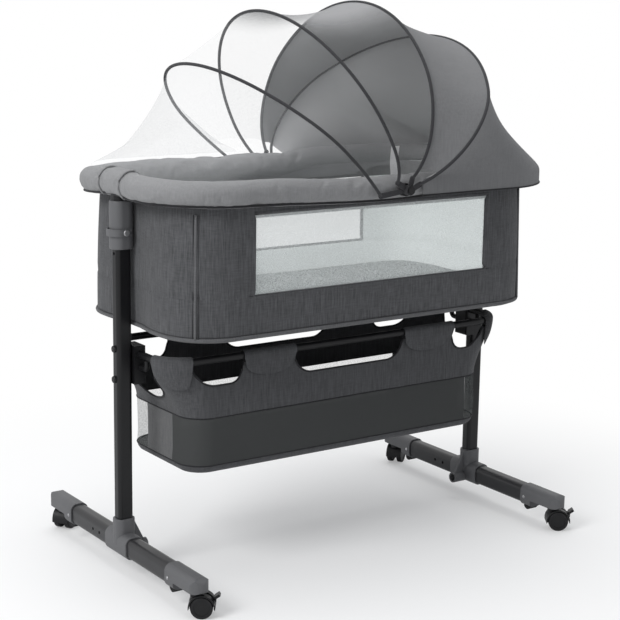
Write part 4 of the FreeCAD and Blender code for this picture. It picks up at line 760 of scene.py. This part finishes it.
# Mattress: a thin foam pad in a woven cover, piped along its top edge. The cover is blown out from inside
# by a cloth simulation with the piping and the underside held, so that it crowns and puckers when stuffed.
def plump(piece, voxel, grow, cap, sewn):
    """Blow a closed cover up from inside as its filling does, its sewn points held and its moves capped."""

    def settled():
        graph = bpy.context.evaluated_depsgraph_get()
        return bpy.data.meshes.new_from_object(piece.evaluated_get(graph))

    grid = piece.modifiers.new("grid", "REMESH")
    grid.mode = "VOXEL"
    grid.voxel_size = voxel
    grid.use_smooth_shade = True
    piece.data = settled()
    piece.modifiers.remove(grid)
    start = [vert.co.copy() for vert in piece.data.vertices]
    held = piece.vertex_groups.new(name="sewn")
    held.add([n for n, place in enumerate(start) if sewn(place)], 1.0, "REPLACE")
    filling = piece.modifiers.new("filling", "CLOTH")
    filling.settings.quality = 6
    filling.settings.vertex_group_mass = "sewn"
    filling.settings.use_pressure = True
    filling.settings.uniform_pressure_force = 4.0
    filling.settings.shrink_min = -grow
    filling.settings.effector_weights.gravity = 0.0
    filling.point_cache.frame_end = 20
    for step in range(1, 21):
        scene.frame_set(step)
    blown = settled()
    piece.modifiers.remove(filling)
    for vert, place in zip(blown.vertices, start):
        move = vert.co - place
        if move.length > cap:
            vert.co = place + move * (cap / move.length)
    piece.data = blown
    piece.vertex_groups.clear()
    finer = piece.modifiers.new("finer", "SUBSURF")
    finer.levels = 1
    finer.render_levels = 1
    piece.data = settled()
    piece.modifiers.remove(finer)
    scene.frame_set(1)


mattress_cloth = cloth("mattress_cloth", (0.115, 0.132, 0.129), 600, 0.3, 0.0004)
mattress_plan = (0.388, 0.196, 0.092)
mattress_low = 0.4776
mattress_crown = 0.4950
rest = stations(60, 12, 26)
pad_rows = [[Vector((0, 0, mattress_low))] * len(rest)]
for height, inset in ((0.0, 0.030), (0.0006, 0.012), (0.005, 0.005), (0.010, 0.004), (0.0135, 0.007),
                      (0.0150, 0.018), (0.0160, 0.045), (0.0166, 0.090), (0.0170, 0.140)):
    half_x, half_y, corner = (size - inset for size in mattress_plan)
    lift = Vector((0, 0, mattress_low + height))
    pad_rows.append([spot(station, half_x, half_y, max(0.02, corner))[0] + lift for station in rest])
pad_rows.append([Vector((0, 0, mattress_crown))] * len(rest))
mattress = skin("mattress_pad", pad_rows, mattress_cloth, solid=True)


def mattress_sewn(place):
    """Whether a point of the cover is on the underside or along the piped edge."""
    edge = max(abs(place.x) - 0.375, abs(place.y) - 0.183)
    return place.z < 0.4790 or (place.z > 0.487 and edge > 0.0)


plump(mattress, 0.006, 0.02, 0.005, mattress_sewn)
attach(mattress, "bed")
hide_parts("mattress")
pipe = piping("mattress_piping", pad_rows[5], 0.0018, mattress_cloth, closed=True)
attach(pipe, "bed")


# Rim: a padded roll of grey cloth on the rail, dipping along the front and all along the rear where it is
# pressed down, with a piped hump over the left leg. Its cover is simulated as the mattress is, held along
# its lower seam.
rim_plan = (0.419, 0.205, 0.126)
rail_height = 0.727
roll_radius = 0.0242
hump_half = 0.038
rows = []
middles = []
for station in stations(120, 26, 50):
    point, out = spot(station, *rim_plan)
    hump = math.exp(-((point.y / 0.040) ** 4)) if point.x < -0.40 else 0.0
    tuck = ramp(point.x, 0.06, 0.14)
    sink = 0.010 * math.exp(-((point.x / 0.20) ** 2)) if point.y < -0.19 else 0.0
    sink += 0.011 * ramp(point.y, 0.05, 0.18) * (1.0 - tuck)
    middle = point + Vector((0, 0, rail_height + 0.003 * hump - sink))
    ring = []
    for n in range(28):
        angle = math.tau * n / 28
        pull = noise.noise(Vector((point.x * 30, point.y * 30, math.cos(angle) * 1.2)))
        radius = roll_radius + 0.0024 * hump - 0.0036 * tuck + 0.0005 * pull
        ring.append(middle + out * math.cos(angle) * radius + Vector((0, 0, math.sin(angle) * radius)))
    rows.append(ring)
    middles.append((middle, out))
rows.append(rows[0])
rim = skin("rim_roll", rows, rim_cloth, solid=True)


def rim_sewn(place):
    """Whether a point of the rim's cover is on a seam, or under the canopy's skirt."""
    inner = abs(place.x) < 0.420 and abs(place.y) < 0.205
    piped = place.x < -0.40 and abs(abs(place.y) - hump_half) < 0.004
    return piped or place.x > 0.10 or place.z < 0.7045 or (inner and place.z < 0.712)


plump(rim, 0.005, 0.020, 0.003, rim_sewn)
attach(rim, "bed")
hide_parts("rim_pad")
seam_line = [middle + out * 0.0165 + Vector((0, 0, -0.0190)) for middle, out in middles]
belt = piping("rim_seam", seam_line, 0.0022, binding_dark, closed=True)
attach(belt, "bed")
hump_radius = 0.0266
hump_height = 0.7290
for way in (-1, 1):
    arch = []
    for degrees in range(-60, 200, 12):
        angle = math.radians(degrees)
        arch.append(Vector((-rim_plan[0] - hump_radius * math.cos(angle), way * hump_half,
                            hump_height + hump_radius * math.sin(angle))))
    cord = piping("hump_piping_%d" % way, arch, 0.0022, rim_cloth)
    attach(cord, "bed")


# Canopy: five panels on four bound wire hoops, each one sheet cut to sag between two wires. The two rear
# ones are grey cloth, with a skirt that hangs over the rim to a dark hem, and the three front ones are net.
# The canopy cloth's back faces are painted a lighter grey: painted light standing in for light through the
# cloth.
canopy_cloth = cloth("canopy_cloth", (0.180, 0.181, 0.185), 560, 0.35, 0.0005, inside_with_painted_light=(0.40, 0.40, 0.405))
front_net = net_cloth("front_net", (0.66, 0.67, 0.68), 0.12)
fine_net = net_cloth("fine_net", (0.78, 0.79, 0.80), 0.055)
grey_net = net_cloth("grey_net", (0.34, 0.34, 0.345), 0.075, 0.66)
hoop_cloth = cloth("hoop_binding", (0.038, 0.038, 0.041), 700, 0.4, 0.0004)
for letter in "abcd":
    for holder in frame["nodes"]["hoop_" + letter].material_slots:
        holder.material = hoop_cloth
# The hoops from front to rear, in millimetres and degrees: lean, offset of the hoop's plane from the pin,
# layer out from the middle, start of the lower arc, spread, height of the widest place, rise, turn and hem.
pin = Vector((42.0, 0.0, 716.0))
fan = {
    "a": (138.4, 45.6, 238.0, 40.0, 26.0, 170.0, 384.0, 31.4, 118.0),
    "b": (116.1, 15.7, 241.2, 24.0, 29.8, 100.0, 359.0, 30.0, 60.0),
    "c": (81.8, -3.0, 244.4, 22.0, 35.6, 107.0, 336.0, 40.3, 40.0),
    "d": (50.5, -10.3, 247.6, 22.0, 59.4, 138.0, 354.0, 44.4, 50.0),
}


def hemmed(letter):
    """The arch of a hoop from its hem up: half width and height of the hem, widest place, rise and turn."""
    layer, start, spread, wide_at, rise, turn, hem = fan[letter][2:]
    lower = (spread ** 2 + (wide_at - start) ** 2) / (2 * spread)
    wide = layer + spread
    return [wide - lower + math.sqrt(lower ** 2 - (wide_at - hem) ** 2), hem, wide, wide_at, rise, turn]


def along_rim(wide, reach, corner, start):
    """The arch of a hem that follows the rim round its end."""
    turn = 88.0
    slope = math.tan(math.radians(turn))
    height = wide - (wide - corner) * 2 * slope / (1 + slope + math.hypot(1, slope))
    return [wide - 1.0, start, wide, reach - height, reach, turn]


def halfway(first, last, sag, draw):
    """The arch midway between two arches, with its crown lowered and its sides drawn in."""
    middle = [(one + two) / 2 for one, two in zip(first, last)]
    middle[0] -= draw
    middle[2] -= draw
    middle[4] -= sag
    return middle


def arch_line(angle, offset, shape):
    """Points along an arch from hem to hem: a lower arc, a shoulder and a crown, in the plane of a hoop."""
    start_wide, start, wide, wide_at, rise, turn = shape
    swing = wide - start_wide
    climb = wide_at - start
    lower = (swing ** 2 + climb ** 2) / (2 * swing)
    height = rise - wide_at
    meet = math.radians(turn)
    slope = math.tan(meet)
    inset = (wide - height) * (1 + slope + math.hypot(1, slope)) / (2 * slope)
    first = math.asin(climb / lower)
    side = []
    for n in range(12):
        swept = first * (n / 12 - 1)
        side.append((wide - lower + lower * math.cos(swept), wide_at + lower * math.sin(swept)))
    for n in range(14):
        swept = meet * n / 14
        side.append((inset + (wide - inset) * math.cos(swept), wide_at + (wide - inset) * math.sin(swept)))
    bend = height + inset * slope
    for n in range(41):
        swept = meet + (math.pi - 2 * meet) * n / 40
        side.append((bend * math.cos(swept), rise - bend + bend * math.sin(swept)))
    side += [(-y, h) for y, h in reversed(side[:26])]
    lean = math.radians(angle)
    return [Vector((pin.x + h * math.cos(lean) - offset * math.sin(lean), y,
                    pin.z + h * math.sin(lean) + offset * math.cos(lean))) / 1000 for y, h in side]


def hanging(name, lines, material, pucker, skirt=None):
    """A sheet through an edge, its sagging middle and the other edge, with a skirt below that if any."""
    rows = []
    for i in range(25):
        t = i / 24
        row = []
        for n, (one, two, three) in enumerate(zip(*lines)):
            place = one * (2 * t * t - 3 * t + 1) + two * (4 * t - 4 * t * t) + three * (2 * t * t - t)
            fold = noise.noise(Vector((n * 0.21, t * 1.6, pucker * 900))) * pucker * 4 * t * (1 - t)
            row.append(place + (place - pin / 1000).normalized() * fold)
        rows.append(row)
    if skirt:
        for i in range(1, 7):
            rows.append([one.lerp(two, i / 6) for one, two in zip(lines[2], skirt)])
        first, last = 19, 28
        for turn in range(2):
            eased = []
            for i in range(first, last):
                trio = zip(rows[i - 1], rows[i], rows[i + 1])
                eased.append([(above + here * 2 + below) / 4 for above, here, below in trio])
            rows[first:last] = eased
    return skin(name, rows, material, closed=False), rows


def between(front, rear, sag):
    """The two edges of a panel on neighbouring hoops, and the line midway that it sags to."""
    first = hemmed(front)
    last = hemmed(rear)
    lean = (fan[front][0] + fan[rear][0]) / 2
    offset = (fan[front][1] + fan[rear][1]) / 2
    middle = arch_line(lean, offset, halfway(first, last, sag, sag / 8))
    return [arch_line(*fan[front][:2], first), middle, arch_line(*fan[rear][:2], last)]


front_hem = along_rim(205.0, 462.0, 108.0, 92.0)
belly = halfway(hemmed("a"), front_hem, 34.0, 8.5)
belly[3] = 205.0
belly[5] = 36.0
front_lines = [arch_line(180.0, -31.0, front_hem), arch_line(158.0, 0.0, belly),
               arch_line(*fan["a"][:2], hemmed("a"))]
rear_hem = along_rim(236.0, 410.0, 146.0, 40.0)
waist = halfway(hemmed("d"), rear_hem, 74.0, 15.0)
rear_lines = [arch_line(*fan["d"][:2], hemmed("d")), arch_line(26.0, 0.0, waist),
              arch_line(0.0, 18.0, rear_hem)]
panels = [
    ("net_middle_sheet", between("a", "b", 14.0), fine_net, "net_middle", ("hoop_b", "hoop_a")),
    ("net_rear_sheet", between("b", "c", 34.0), grey_net, "net_rear", ("hoop_c", "hoop_b")),
    ("canopy_front_sheet", between("c", "d", 24.0), canopy_cloth, "canopy_front", ("hoop_d", "hoop_c")),
    ("canopy_rear_sheet", rear_lines, canopy_cloth, "canopy_rear", ("bed", "hoop_d")),
    ("net_front_sheet", front_lines, front_net, "net_front", None),
]
for name, lines, material, node_name, pair in panels:
    skirt = arch_line(0.0, -13.0, rear_hem) if node_name == "canopy_rear" else None
    pucker = 0.0012 if "canopy" in node_name else 0.0006
    sheet, rows = hanging(name, lines, material, pucker, skirt)
    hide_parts(node_name)
    if pair is None:
        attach(sheet, "hoop_a")
        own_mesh(sheet)
    else:
        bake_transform(sheet)
    if skirt:
        hem = piping("skirt_hem", rows[-1], 0.0016, binding_dark)
        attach(hem, "bed")


# Net tie: a short tongue of pale webbing, sewn to the inner side of the rim near the hoops' pin, with a
# slight bow along it.
tape = cloth("tie_tape", (0.80, 0.80, 0.80), 800, 0.3, 0.0003)
tape_width = 0.019
tape_rise = 0.054
tape_foot = Vector((0.048, -0.1795, 0.736))
strip = []
for n in range(13):
    bow = 0.003 * math.sin(math.pi * n / 12)
    strip.append([tape_foot + Vector((tape_width * k / 4, bow, tape_rise * n / 12)) for k in range(5)])
tie = skin("net_tie_tape", strip, tape, closed=False)
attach(tie, "bed")
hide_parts("net_tie")
